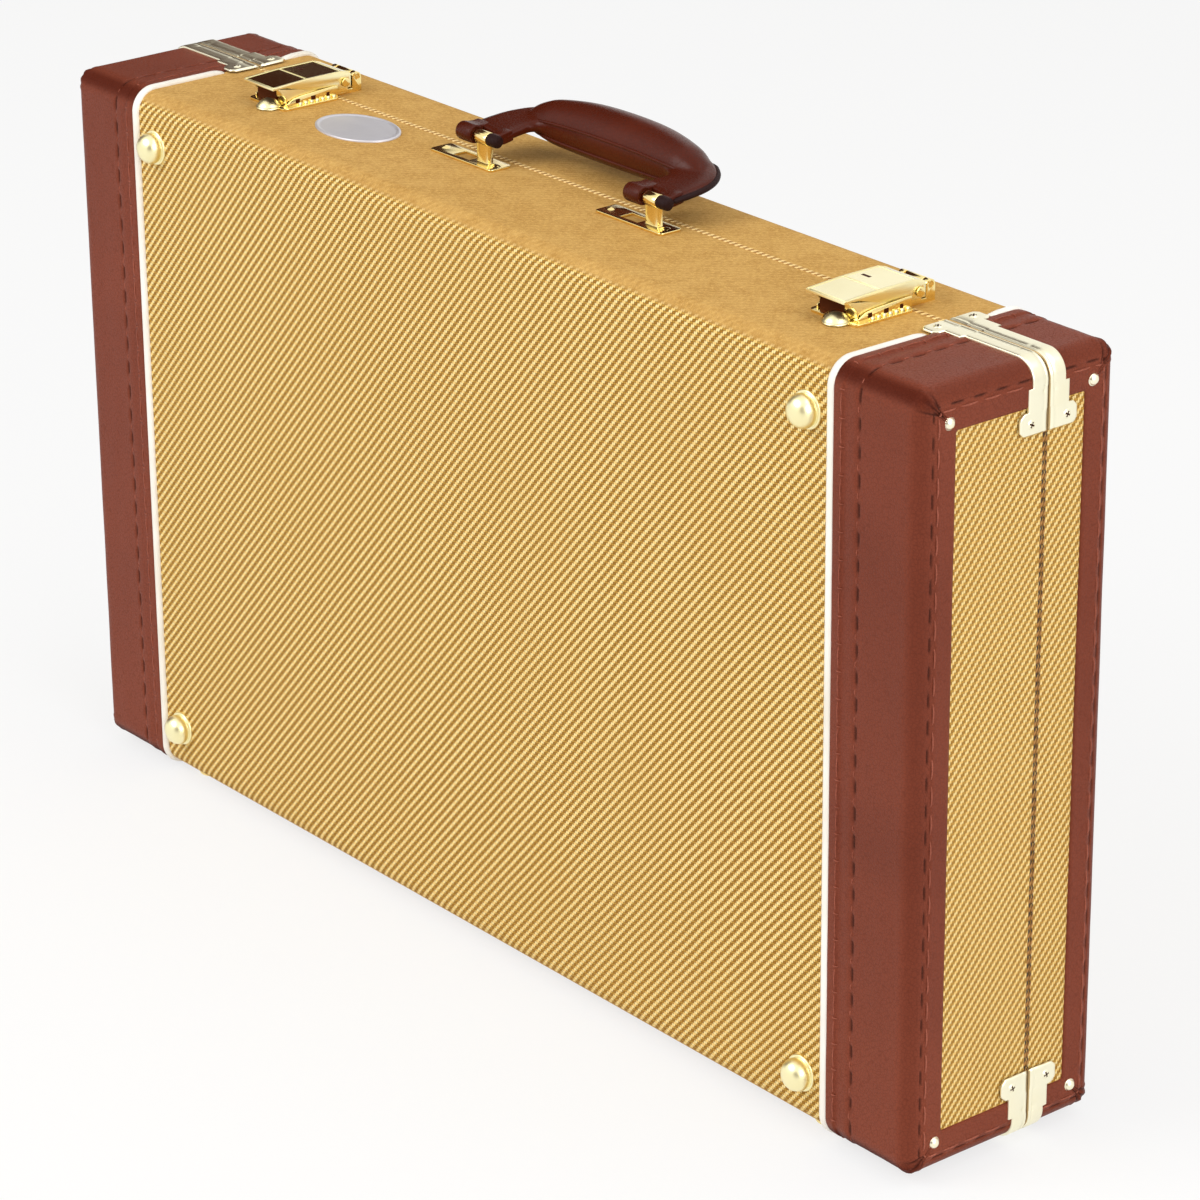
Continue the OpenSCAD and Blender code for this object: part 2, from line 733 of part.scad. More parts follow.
// Side outline of a cheek, from inside the sheet down past the pin
module lever_cheek() {
    top = lever_h - lever_t / 2;
    low = lever_pin_z - cheek_drop;
    polygon([[-lever_tip, top - lever_drop], [lever_front_y, top], [lever_bend_y, top],
        [lever_tail_y, top - lever_back_drop], [lever_tail_y, low], [0, low],
        [lever_front_y, lever_pin_z], [cheek_inset - lever_tip, lever_h - lever_drop - lever_t]]);
}

module extrude_x(x0, x1) {
    translate([x0, 0, 0]) rotate([90, 0, 90]) linear_extrude(height = x1 - x0) children();
}

// Height of the sheet's top at y, on the middle flat or the front facet
function sheet_top(y) = lever_h - lever_drop * max(0, lever_front_y - y) / lever_facet;

module lever() {
    hook_y = -catch_reach - hook_gap;
    extrude_x(-lever_x, lever_x) lever_sheet();
    for (s = [-1, 1]) at_end(s) difference() {
        extrude_x(lever_x - lever_t, lever_x) lever_cheek();
        rod(latch_pin_r + pin_fit, 0, latch_w, lever_pin_y, lever_pin_z);
    }
    span(-hook_w / 2, hook_w / 2, hook_y - hook_t, hook_y, plate_t + catch_h + end_play,
        sheet_top(hook_y - hook_t) - lever_t / 2);
}

module badge() {
    translate([badge_x, -badge_y, tweed_top]) linear_extrude(height = badge_t)
        polygon([for (a = [0:7.5:352.5]) [badge_l / 2 * cos(a), badge_w / 2 * sin(a)]]);
}

module leaf(lid) {
    s = lid ? 1 : -1;
    near = hinge_r + end_play;
    lid_knuckle = knuckle_third / 2 - end_play / 2;
    base_knuckle = knuckle_third / 2 + end_play / 2;
    translate([0, seam_y, hinge_z]) difference() {
        union() {
            if (lid) {
                rod(hinge_r, -lid_knuckle, lid_knuckle, 0, 0);
                span(-lid_knuckle, lid_knuckle, 0, leaf_w, hinge_r - plate_t, hinge_r);
                span(-hinge_l / 2, hinge_l / 2, near, leaf_w, hinge_r - plate_t, hinge_r);
            } else {
                for (m = [-1, 1]) at_end(m) {
                    rod(hinge_r, base_knuckle, hinge_l / 2, 0, 0);
                    span(base_knuckle, hinge_l / 2, -leaf_w, 0, hinge_r - plate_t, hinge_r);
                }
                span(-hinge_l / 2, hinge_l / 2, -leaf_w, -near, hinge_r - plate_t, hinge_r);
            }
        }
        rod(hinge_pin_r + pin_fit, -hinge_l, hinge_l, 0, 0);
    }
}

module at_hinges() {
    for (s = [-1, 1]) translate([s * hinge_pitch / 2, 0, 0]) children();
}

module base_panel() {
    color(wood_color) stood() core_piece(-core_x, core_x, -case_d / 2, base_floor, 0, case_h);
}

module base_top_wall() {
    color(wood_color) stood() top_wall(false);
}

module base_bottom_wall() {
    color(wood_color) stood() bottom_wall(false);
}

module base_left_wall() {
    color(wood_color) stood() end_wall(false, -1);
}

module base_right_wall() {
    color(wood_color) stood() end_wall(false, 1);
}

module base_tweed() {
    color(tweed_color) stood() body_tweed(false);
}

module base_end_tweed_left() {
    color(tweed_color) stood() end_tweed(false, -1);
}

module base_end_tweed_right() {
    color(tweed_color) stood() end_tweed(false, 1);
}

module base_leather_left() {
    color(leather_color) stood() end_leather(false, -1);
}

module base_leather_right() {
    color(leather_color) stood() end_leather(false, 1);
}

module base_piping_left() {
    color(piping_color) stood() end_piping(false, -1);
}

module base_piping_right() {
    color(piping_color) stood() end_piping(false, 1);
}

module rim_strip() {
    color("saddlebrown") stood() rim();
}

module base_lining() {
    color(lining_color) stood() lining(false);
}

module board_battens() {
    color(wood_color) stood() battens();
}

module pedal_board() {
    color(wood_color) stood() tray_slab(board_y, board_y + board_t);
}

module board_carpet() {
    color(lining_color) stood() tray_slab(board_y + board_t, board_y + board_t + carpet_t);
}

module base_clamps_left() {
    color(gold_color) stood() clamp_place(false, -1) half_clamp();
}

module base_clamps_right() {
    color(gold_color) stood() clamp_place(false, 1) half_clamp();
}

module base_feet() {
    color(gold_color) stood() feet();
}

module base_end_studs() {
    color(gold_color) stood() end_studs(false);
}

module base_glides() {
    color(gold_color) stood() glides(false);
}

module base_screws() {
    color(gold_color) stood() all_screws(false);
}

module badge_plate() {
    color("silver") stood() badge();
}

module handle_plates() {
    color(gold_color) stood() at_posts() handle_plate();
}

module latch_plate_left() {
    color(gold_color) stood() at_latch(-1) latch_plate();
}

module latch_plate_right() {
    color(gold_color) stood() at_latch(1) latch_plate();
}

module base_hinge_leaves() {
    color(gold_color) stood() at_hinges() leaf(false);
}

module hinge_pins() {
    color(gold_color) stood() at_hinges()
        rod(hinge_pin_r, -hinge_l / 2, hinge_l / 2, seam_y, hinge_z);
}

module lid_panel() {
    color(wood_color) stood() core_piece(-core_x, core_x, lid_floor, case_d / 2, 0, case_h);
}

module lid_top_wall() {
    color(wood_color) stood() top_wall(true);
}

module lid_bottom_wall() {
    color(wood_color) stood() bottom_wall(true);
}

module lid_left_wall() {
    color(wood_color) stood() end_wall(true, -1);
}

module lid_right_wall() {
    color(wood_color) stood() end_wall(true, 1);
}

module lid_tweed() {
    color(tweed_color) stood() body_tweed(true);
}

module lid_end_tweed_left() {
    color(tweed_color) stood() end_tweed(true, -1);
}

module lid_end_tweed_right() {
    color(tweed_color) stood() end_tweed(true, 1);
}

module lid_leather_left() {
    color(leather_color) stood() end_leather(true, -1);
}

module lid_leather_right() {
    color(leather_color) stood() end_leather(true, 1);
}

module lid_piping_left() {
    color(piping_color) stood() end_piping(true, -1);
}

module lid_piping_right() {
    color(piping_color) stood() end_piping(true, 1);
}

module lid_lining() {
    color(lining_color) stood() lining(true);
}

module lid_foam() {
    color("dimgray") stood() tray_slab(lid_floor - lining_t - foam_t, lid_floor - lining_t);
}

module lid_clamps_left() {
    color(gold_color) stood() clamp_place(true, -1) half_clamp();
}

module lid_clamps_right() {
    color(gold_color) stood() clamp_place(true, 1) half_clamp();
}

module lid_end_studs() {
    color(gold_color) stood() end_studs(true);
}

module lid_glides() {
    color(gold_color) stood() glides(true);
}

module lid_screws() {
    color(gold_color) stood() all_screws(true);
}

module latch_keeper_left() {
    color(gold_color) stood() at_latch(-1) latch_keeper();
}

module latch_keeper_right() {
    color(gold_color) stood() at_latch(1) latch_keeper();
}

module hasp_pins() {
    color(gold_color) stood() for (s = [-1, 1]) at_latch(s)
        rod(latch_pin_r, -keeper_w / 2, keeper_w / 2, hasp_pin_y, keeper_pin_z);
}

module lid_hinge_leaves() {
    color(gold_color) stood() at_hinges() leaf(true);
}

module handle_grip() {
    color(leather_color) stood() grip();
}

module handle_pins() {
    color(gold_color) stood() pins_of_handle();
}

module hasp_left() {
    color(gold_color) stood() at_latch(-1) hasp();
}

module hasp_right() {
    color(gold_color) stood() at_latch(1) hasp();
}

module lever_pin_left() {
    color(gold_color) stood() at_latch(-1) lever_pin();
}

module lever_pin_right() {
    color(gold_color) stood() at_latch(1) lever_pin();
}

module lever_left() {
    color(gold_color) stood() at_latch(-1) lever();
}

module lever_right() {
    color(gold_color) stood() at_latch(1) lever();
}

base_panel();
base_top_wall();
base_bottom_wall();
base_left_wall();
base_right_wall();
base_tweed();
base_end_tweed_left();
base_end_tweed_right();
base_leather_left();
base_leather_right();
base_piping_left();
base_piping_right();
rim_strip();
base_lining();
board_battens();
pedal_board();
board_carpet();
base_clamps_left();
base_clamps_right();
base_feet();
base_end_studs();
base_glides();
base_screws();
badge_plate();
handle_plates();
latch_plate_left();
latch_plate_right();
base_hinge_leaves();
hinge_pins();
lid_panel();
lid_top_wall();
lid_bottom_wall();
lid_left_wall();
lid_right_wall();
lid_tweed();
lid_end_tweed_left();
lid_end_tweed_right();
lid_leather_left();
lid_leather_right();
lid_piping_left();
lid_piping_right();
lid_lining();
lid_foam();
lid_clamps_left();
lid_clamps_right();
lid_end_studs();
lid_glides();
lid_screws();
latch_keeper_left();
latch_keeper_right();
hasp_pins();
lid_hinge_leaves();
handle_grip();
handle_pins();
hasp_left();
hasp_right();
lever_pin_left();
lever_pin_right();
lever_left();
lever_right();
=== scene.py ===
"""Looks of a tweed pedalboard case with leather ends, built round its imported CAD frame.

Pieces are made in millimetres in the frame's own axes (X along the case, Y from the footed face
to the lid, Z up) and scaled to metres when their mesh is made. Most functions make one piece for
one half of the case (the lid or the base) and one end of it (side 1 is right, side -1 is left).
"""

import math

import bmesh
import bpy
import numpy as np
from mathutils import Matrix, Vector, noise


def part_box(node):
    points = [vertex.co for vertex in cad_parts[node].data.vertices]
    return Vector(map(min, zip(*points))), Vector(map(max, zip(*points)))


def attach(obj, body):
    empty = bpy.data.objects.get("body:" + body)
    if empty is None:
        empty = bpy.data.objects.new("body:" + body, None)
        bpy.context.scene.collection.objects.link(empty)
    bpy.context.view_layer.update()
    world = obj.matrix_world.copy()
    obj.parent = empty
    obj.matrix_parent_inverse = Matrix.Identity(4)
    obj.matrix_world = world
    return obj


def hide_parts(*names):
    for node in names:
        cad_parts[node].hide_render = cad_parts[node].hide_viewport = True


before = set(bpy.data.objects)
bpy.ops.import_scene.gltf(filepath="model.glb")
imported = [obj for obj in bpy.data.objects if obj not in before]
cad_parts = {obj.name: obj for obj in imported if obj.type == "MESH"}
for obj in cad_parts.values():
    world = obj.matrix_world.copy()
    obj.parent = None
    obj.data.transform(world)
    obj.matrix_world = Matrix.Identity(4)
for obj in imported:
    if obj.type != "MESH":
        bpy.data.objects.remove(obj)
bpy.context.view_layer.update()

MM = 0.001
TURN = 2 * math.pi


def box_mm(node):
    """A CAD node's lowest and highest corners in millimetres."""
    low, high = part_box(node)
    return np.array(low) / MM, np.array(high) / MM


def half_name(lid, part="", side=0):
    """The name of one half's body, or of its CAD node at an end (side 0 has no end)."""
    return ("lid" if lid else "base") + part + {0: "", 1: "_right", -1: "_left"}[side]


# ---- the frame's own sizes
(BAND_X, BASE_Y, LOW_Z), (END_X, BASE_SEAM, HIGH_Z) = box_mm("base_leather_right")
LID_SEAM, LID_Y = (corner[1] for corner in box_mm("lid_leather_right"))
SEAM_Y = (BASE_SEAM + LID_SEAM) / 2
TWEED_X, _, TWEED_TOP = box_mm("base_tweed")[1]
TWEED_DROP = HIGH_Z - TWEED_TOP
WINDOW = box_mm("base_end_tweed_right")[0][1] - BASE_Y
HANDLE_X, PIN_Y, PIN_Z = sum(box_mm("handle_pins")) / 2
EDGE_R = 11.0
END_R = 9.0


# ---- camera at the photograph's place
CAM_PLACE = Vector((1.5764, -1.2372, 0.9987))
CAM_AZIMUTH, CAM_ELEVATION, CAM_ROLL = 51.194, 22.682, -0.511
CAM_LENS, CAM_SENSOR = 140.19, 36


def make_camera():
    a, e, r = (math.radians(v) for v in (CAM_AZIMUTH, CAM_ELEVATION, CAM_ROLL))
    back = Vector((math.sin(a) * math.cos(e), -math.cos(a) * math.cos(e), math.sin(e)))
    right = (-back).cross(Vector((0, 0, 1))).normalized()
    up = right.cross(-back)
    right, up = math.cos(r) * right + math.sin(r) * up, math.cos(r) * up - math.sin(r) * right
    data = bpy.data.cameras.new("camera")
    data.lens, data.sensor_width, data.clip_start = CAM_LENS, CAM_SENSOR, 0.05
    cam = bpy.data.objects.new("camera", data)
    axes = Matrix((right, up, back)).transposed().to_4x4()
    cam.matrix_world = Matrix.Translation(CAM_PLACE) @ axes
    bpy.context.scene.collection.objects.link(cam)
    bpy.context.scene.camera = cam


# ---- small node toolkit for the procedural materials and the world
def sign(op, swapped=False):
    """The method of a Wire for one arithmetic sign."""
    def method(self, other):
        return self.nodes.math(op, other, self) if swapped else self.nodes.math(op, self, other)
    return method


class Wire:
    """A value in a node tree; each arithmetic sign used on it adds a math node."""

    def __init__(self, nodes, socket):
        self.nodes, self.socket = nodes, socket

    __add__, __mul__, __truediv__ = sign("ADD"), sign("MULTIPLY"), sign("DIVIDE")
    __sub__, __rsub__ = sign("SUBTRACT"), sign("SUBTRACT", swapped=True)
    __mod__, __pow__, __lt__ = sign("FLOORED_MODULO"), sign("POWER"), sign("LESS_THAN")


class Nodes:
    """The node tree of a material or world, with short calls for the nodes that looks use."""

    def __init__(self, owner):
        owner.use_nodes = True
        self.owner, self.tree = owner, owner.node_tree

    def put(self, socket, value):
        """Links a wire to a socket, or sets the socket's own value."""
        if isinstance(value, Wire):
            self.tree.links.new(value.socket, socket)
        else:
            socket.default_value = value

    def make(self, kind, output, inputs=(), **settings):
        """A node with its settings and inputs; returns one of its outputs."""
        node = self.tree.nodes.new(kind)
        for key, value in settings.items():
            setattr(node, key, value)
        for key, value in dict(inputs).items():
            self.put(node.inputs[key], value)
        return Wire(self, node.outputs[output])

    def math(self, op, a, b=0.0, clamp=False):
        return self.make("ShaderNodeMath", 0, {0: a, 1: b}, operation=op, use_clamp=clamp)

    def mix(self, factor, a, b):
        return self.make("ShaderNodeMix", "Result", {"Factor": factor, "A": a, "B": b},
                         data_type="RGBA")

    def range(self, value, low, high, out_low=0.0, out_high=1.0, **settings):
        ends = {"From Min": low, "From Max": high, "To Min": out_low, "To Max": out_high}
        return self.make("ShaderNodeMapRange", "Result", {"Value": value, **ends}, **settings)

    def attribute(self, name, output="Fac"):
        return self.make("ShaderNodeAttribute", output, attribute_name=name)

    def coords(self):
        return self.make("ShaderNodeTexCoord", "Object")

    def noise(self, scale, detail=3.0, vector=None, distortion=0.0):
        return self.make("ShaderNodeTexNoise", "Fac",
                         {"Vector": vector or self.coords(), "Scale": scale, "Detail": detail,
                          "Distortion": distortion})

    def streaks(self, scale, detail, distortion=0.0):
        """Noise with its own scale along each axis."""
        vector = self.make("ShaderNodeMapping", "Vector", {"Vector": self.coords(), "Scale": scale})
        return self.noise(1.0, detail, vector, distortion)

    def voronoi(self, scale, feature="F1"):
        return self.make("ShaderNodeTexVoronoi", "Distance",
                         {"Vector": self.coords(), "Scale": scale}, feature=feature)

    def bump(self, height, distance, strength):
        return self.make("ShaderNodeBump", "Normal",
                         {"Height": height, "Distance": distance, "Strength": strength})

    def surface(self, **sockets):
        """Sets the main shader's sockets and gives the material back."""
        for key, value in sockets.items():
            self.put(self.tree.nodes["Principled BSDF"].inputs[key.replace("_", " ")], value)
        return self.owner


def new_nodes(name):
    return Nodes(bpy.data.materials.new(name))


def rgb(r, g, b):
    """An sRGB colour, 0 to 255, as a linear socket value."""
    def linear(c):
        c /= 255
        return c / 12.92 if c <= 0.04045 else ((c + 0.055) / 1.055) ** 2.4
    return (linear(r), linear(g), linear(b), 1.0)


# the part of a noise's range that a blend is spread over
MIDDLE = (0.3, 0.7)


# ---- tweed: a 2/2 twill, its yarns told apart by colour and by height
YARN_U, YARN_V = 1.10, 1.21
# how sharply a yarn rounds off, across it and along it
WARP_CROWN, WEFT_CROWN, WEFT_HIGH = (0.35, 0.22), (0.5, 0.35), 0.72


def tweed_material():
    """The attribute "cloth" holds the cloth's coordinates in millimetres, and "twill" fades the
    twill to a plain weave."""
    n = new_nodes("tweed")
    cloth = n.attribute("cloth", "Vector")
    cell_u = n.make("ShaderNodeSeparateXYZ", 0, {0: cloth}) / YARN_U
    cell_v = n.make("ShaderNodeSeparateXYZ", 1, {0: cloth}) / YARN_V
    cell_u = cell_u + (n.noise(60.0, 2.0) - 0.5) * 0.5
    whole_u, whole_v = n.math("FLOOR", cell_u), n.math("FLOOR", cell_v)
    part_u, part_v = cell_u - whole_u, cell_v - whole_v
    order = (whole_u - whole_v) % 4.0
    warp, half = order < 1.5, order % 2.0

    def crown(part):
        """0 at both sides of a yarn and 1 in its middle."""
        return part * (1.0 - part) * 4.0

    high_warp = crown(part_u) ** WARP_CROWN[0] * crown((1.0 - part_v + half) * 0.5) ** WARP_CROWN[1]
    high_weft = crown(part_v) ** WEFT_CROWN[0] * crown((part_u + half) * 0.5) ** WEFT_CROWN[1]
    height = warp * high_warp + (1.0 - warp) * (high_weft * WEFT_HIGH)

    fuzz, pick = n.noise(2600.0, 2.0), whole_v % 2.0
    warp_light = n.mix(pick, rgb(255, 238, 176), rgb(255, 222, 142))
    # warp and weft darken from their crowns to where they dip: painted highlight and shade between
    # the yarns, besides the bump
    warp_colour = n.mix(high_warp, rgb(196, 142, 62), warp_light)
    warp_colour = n.mix(fuzz * 0.15, warp_colour, rgb(240, 196, 104))
    weft_light = n.mix(pick, rgb(166, 118, 40), rgb(196, 148, 62))
    weft_colour = n.mix(high_weft, rgb(84, 50, 8), weft_light)
    speck = n.range(n.noise(520.0, 4.0), 0.36, 0.64)
    blotch = n.range(n.noise(110.0), 0.38, 0.62)
    plain = n.mix(n.range(fuzz, *MIDDLE), rgb(184, 136, 66), rgb(224, 182, 108))
    plain = n.mix(speck * 0.55, plain, rgb(168, 118, 52))
    plain = n.mix(blotch * 0.28, plain, rgb(230, 186, 112))

    amount = n.attribute("twill")
    colour = n.mix(amount, plain, n.mix(warp, weft_colour, warp_colour))
    patch = n.range(n.noise(14.0), 0.35, 0.65, 0.0, 0.10)
    colour = n.mix(patch, colour, rgb(196, 150, 74))
    height = height * n.range(amount, 0.0, 1.0, 0.35, 1.0)
    return n.surface(Base_Color=colour, Roughness=n.range(height, 0.0, 1.0, 0.8, 0.6),
                     Normal=n.bump(height + fuzz * 0.2, 0.00022, 0.8), Specular_IOR_Level=0.12)


# ---- leather
PORES, CREASES, FINE_GRAIN = 900.0, 620.0, 2200.0
# the tint of the grain's creases, then of painted shade in folds and on roundings
CREASE_TINT, FOLD_SHADE_TINT, EDGE_SHADE_TINT = (0.45, 0.45, 0.45), (0.12, 0.12, 0.12), (0.28, 0.1, 0.05)


def leather_material(name, dark, light, rough, grain, shine):
    """The attribute "fold" is 1 in stitched grooves and pleats, and "edge" is 1 on the case's
    roundings: both are painted shade, darker, and "edge" also dulls the shine."""
    n = new_nodes(name)
    patch = n.noise(9.0, 4.0, distortion=0.4)
    crease = n.range(n.voronoi(CREASES, "DISTANCE_TO_EDGE"), 0.0, 0.12, 1.0, 0.0)
    # painted shade: darker in folds and on roundings
    fold = n.math("MULTIPLY", n.attribute("fold"), 0.8, clamp=True)
    edge = n.attribute("edge") * n.range(patch, *MIDDLE, 0.6, 0.8)
    colour = n.mix(n.range(patch, *MIDDLE), dark, light)
    for amount, tint in ((crease * 0.35, CREASE_TINT), (fold, FOLD_SHADE_TINT), (edge, EDGE_SHADE_TINT)):
        colour = n.mix(amount, colour, tuple(c * k for c, k in zip(dark, tint)) + (1.0,))
    height = n.voronoi(PORES, "SMOOTH_F1") * 0.5 - crease * 0.6 + n.noise(FINE_GRAIN, 2.0) * 0.25
    roughness = n.math("ADD", n.range(patch, *MIDDLE, rough - 0.05, rough + 0.07),
                       crease * 0.12, clamp=True)
    return n.surface(Base_Color=colour, Roughness=roughness,
                     Normal=n.bump(height, 0.00016 * grain, 0.7),
                     Specular_IOR_Level=(1.0 - edge) * shine)


# ---- metals, piping, pile, wood and cord
def metal_material(name, colour, tarnish, rough, brushed=0.0):
    n = new_nodes(name)
    patch = n.noise(55.0, 4.0)
    fine = n.streaks((40.0, 2600.0, 2600.0), 3.0) if brushed else n.noise(900.0)
    roughness = n.math("ADD", n.range(patch, *MIDDLE, rough, rough + 0.06),
                       fine * (0.05 + brushed), clamp=True)
    return n.surface(Base_Color=n.mix(n.range(patch, 0.4, 0.75, 0.0, 0.35), colour, tarnish),
                     Metallic=1.0, Roughness=roughness,
                     Normal=n.bump(fine, 0.00002 + 0.00004 * brushed, 0.35))


def piping_material():
    n = new_nodes("piping")
    patch = n.noise(30.0)
    colour = n.mix(n.range(patch, 0.35, 0.7), rgb(250, 246, 238), rgb(236, 229, 214))
    return n.surface(Base_Color=colour, Roughness=n.range(patch, *MIDDLE, 0.32, 0.45),
                     Normal=n.bump(n.noise(700.0), 0.00006, 0.4))


def pile_material(name, dark, light, scale, depth):
    """Plush, carpet or foam: a short pile whose tips catch the light."""
    n = new_nodes(name)
    tufts = n.voronoi(scale)
    colour = n.mix(n.range(tufts, 0.1, 0.6, 1.0, 0.0), dark, light)
    colour = n.mix(n.range(n.noise(20.0, 4.0), 0.4, 0.6, 0.0, 0.3), colour, dark)
    height = n.noise(scale * 2.5, 2.0) * 0.5 - tufts
    return n.surface(Base_Color=colour, Roughness=0.95, Normal=n.bump(height, depth, 0.8),
                     Sheen_Weight=0.4, Sheen_Roughness=0.5)


def wood_material():
    n = new_nodes("plywood")
    grain = n.streaks((6.0, 90.0, 90.0), 5.0, 1.2)
    colour = n.mix(n.range(grain, *MIDDLE), rgb(190, 150, 104), rgb(222, 190, 146))
    return n.surface(Base_Color=colour, Roughness=0.62, Normal=n.bump(grain, 0.00008, 0.5))


def cord_material(name, gap, hump):
    """The folded edge of the cloth: humps with painted shade in the gaps, from the bead's own
    height.
    """
    n = new_nodes(name)
    colour = n.mix(n.range(n.attribute("lift"), 0.35, 0.7), gap, hump)
    return n.surface(Base_Color=colour, Roughness=0.7, Normal=n.bump(n.noise(2600.0), 0.0001, 0.5))


MATS = {
    "tweed": tweed_material(),
    "leather": leather_material("leather", rgb(116, 54, 36), rgb(134, 66, 46), 0.42, 1.0, 0.12),
    "handle": leather_material("handle_leather", rgb(64, 20, 8), rgb(90, 32, 14), 0.24, 0.4, 0.16),
    "rim": leather_material("edge_paint", rgb(34, 16, 16), rgb(46, 22, 20), 0.5, 1.0, 0.12),
    # thread: paler than the leather, partly its own colour and partly a painted highlight along the
    # stitched edges
    "thread": leather_material("thread", rgb(150, 82, 64), rgb(172, 100, 80), 0.6, 2.0, 0.1),
    "gold": metal_material("gold", rgb(255, 234, 164), rgb(244, 206, 122), 0.10),
    "bright_gold": metal_material("bright_gold", rgb(255, 246, 196), rgb(252, 232, 160), 0.30),
    "mirror_gold": metal_material("mirror_gold", rgb(255, 246, 200), rgb(253, 238, 180), 0.08),
    "pale_gold": metal_material("pale_gold", rgb(255, 250, 222), rgb(250, 238, 196), 0.26),
    # painted shade in the groove between a clamp's halves
    "channel_shade": metal_material("clamp_channel", rgb(196, 168, 120), rgb(150, 118, 76), 0.4),
    "silver": metal_material("silver", rgb(214, 212, 216), rgb(188, 186, 194), 0.42, 0.18),
    "shadow": metal_material("slot_shadow", rgb(84, 40, 20), rgb(48, 18, 12), 0.55),
    "piping": piping_material(),
    "lining": pile_material("lining", rgb(26, 20, 20), rgb(66, 54, 54), 900.0, 0.0006),
    "carpet": pile_material("carpet", rgb(26, 26, 28), rgb(70, 70, 74), 420.0, 0.0012),
    "foam": pile_material("foam", rgb(30, 30, 33), rgb(62, 62, 68), 1500.0, 0.0003),
    "plywood": wood_material(),
    # seam cords: painted shade in the gaps between the humps; the shaded cord is the same cloth
    # edge painted in shade, for the seams on the ends
    "cord": cord_material("seam_cord", rgb(172, 122, 56), rgb(250, 220, 152)),
    "shaded_cord": cord_material("end_seam_cord_shaded", rgb(44, 20, 4), rgb(176, 124, 60)),
}


# ---- mesh helpers
def add_object(name, mesh, material, body, slot, replaces=(), smooth=True):
    """Puts a mesh in the scene as a piece that rides on a body of the frame."""
    mesh.materials.clear()
    mesh.materials.append(MATS[material])
    mesh.polygons.foreach_set("use_smooth", [smooth] * len(mesh.polygons))
    piece = bpy.data.objects.new(name, mesh)
    bpy.context.scene.collection.objects.link(piece)
    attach(piece, body)
    if replaces:
        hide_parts(*replaces)
    return piece


def turn_outward(mesh):
    """Turns the faces of a closed or nearly closed mesh outwards."""
    bm = bmesh.new()
    bm.from_mesh(mesh)
    bmesh.ops.recalc_face_normals(bm, faces=bm.faces)
    bm.to_mesh(mesh)
    bm.free()


def turn_from_middle(mesh):
    """Turns an open shell's faces away from the case's middle."""
    middle = Vector((0, SEAM_Y, (LOW_Z + HIGH_Z) / 2)) * MM
    if sum((p.center - middle).dot(p.normal) * p.area for p in mesh.polygons) < 0:
        mesh.flip_normals()


def add_mesh(name, verts, faces, material, body, slot, replaces=(), smooth=True, shell=False,
             **values):
    """A piece from vertices in millimetres; values are attributes with one entry a vertex."""
    mesh = bpy.data.meshes.new(name)
    mesh.from_pydata((np.asarray(verts, float) * MM).tolist(), [], faces)
    for attribute, data in values.items():
        data = np.asarray(data, np.float32)
        kind, key = ("FLOAT_VECTOR", "vector") if data.ndim == 2 else ("FLOAT", "value")
        mesh.attributes.new(attribute, kind, "POINT").data.foreach_set(key, data.ravel())
    mesh.update()
    piece = add_object(name, mesh, material, body, slot, replaces, smooth)
    (turn_from_middle if shell else turn_outward)(mesh)
    return piece


def grid_faces(rows, cols, wrap=False, start=0):
    """Quads of a rows x cols grid of vertices; wrap joins the last column to the first."""
    faces = []
    for r in range(rows - 1):
        for c in range(cols if wrap else cols - 1):
            d = (c + 1) % cols
            near, far = start + r * cols, start + (r + 1) * cols
            faces.append([near + c, near + d, far + d, far + c])
    return faces


def tube_faces(rows, sides, start=0):
    """Faces of a closed tube: rings of vertices, with a cap on the first and the last."""
    last = start + (rows - 1) * sides
    return grid_faces(rows, sides, wrap=True, start=start) + [
        list(range(start, start + sides)), list(range(last, last + sides))[::-1]]


def sweep(rows, sides, point):
    """A closed tube of one ring a row; point(row, angle) is each vertex."""
    rows = list(rows)
    verts = [point(row, TURN * k / sides) for row in rows for k in range(sides)]
    return verts, tube_faces(len(rows), sides)


def merged(parts, shift=(0.0, 0.0, 0.0)):
    """Joins (verts, faces) parts into one list of each, moved by the shift."""
    verts, faces = [], []
    for part, part_faces in parts:
        faces += [[i + len(verts) for i in face] for face in part_faces]
        verts += [(x + shift[0], y + shift[1], z + shift[2]) for x, y, z in part]
    return verts, faces


def placed(parts):
    """Joins (verts, faces, centre, normal, spin) parts, each turned from Z to its normal."""
    moved = []
    for verts, faces, centre, normal, spin in parts:
        turn = Vector((0, 0, 1)).rotation_difference(Vector(normal)).to_matrix()
        turn = turn @ Matrix.Rotation(spin, 3, "Z")
        moved.append(([tuple(turn @ Vector(p) + Vector(centre)) for p in verts], faces))
    return merged(moved)


def lathe(profile, sides=40, slot=None):
    """A turned shape about Z, open at its first row; slot is the half width, depth and reach of a
    cross cut into it."""
    verts = []
    for r, z in profile:
        for k in range(sides):
            x, y, dip = r * math.cos(TURN * k / sides), r * math.sin(TURN * k / sides), 0.0
            if slot and r < slot[2] and (abs(x) < slot[0] or abs(y) < slot[0]):
                dip = slot[1]
            verts.append((x, y, z - dip))
    faces = grid_faces(len(profile), sides, wrap=True)
    faces.append([(len(profile) - 1) * sides + k for k in range(sides)])
    return verts, faces


def dome_profile(r, h, rings=12, lift=0.0):
    """From a cap's rim at height lift almost to its top."""
    ball = (r * r + h * h) / (2 * h)
    angles = np.linspace(math.asin(min(1.0, r / ball)), 0.02, rings)
    return [(ball * math.sin(a), h - ball + ball * math.cos(a) + lift) for a in angles]


def slab(outline, x0, x1):
    """A plate across X from its (y, z) outline."""
    return ([(x, y, z) for x in (x0, x1) for y, z in outline], tube_faces(2, len(outline)))


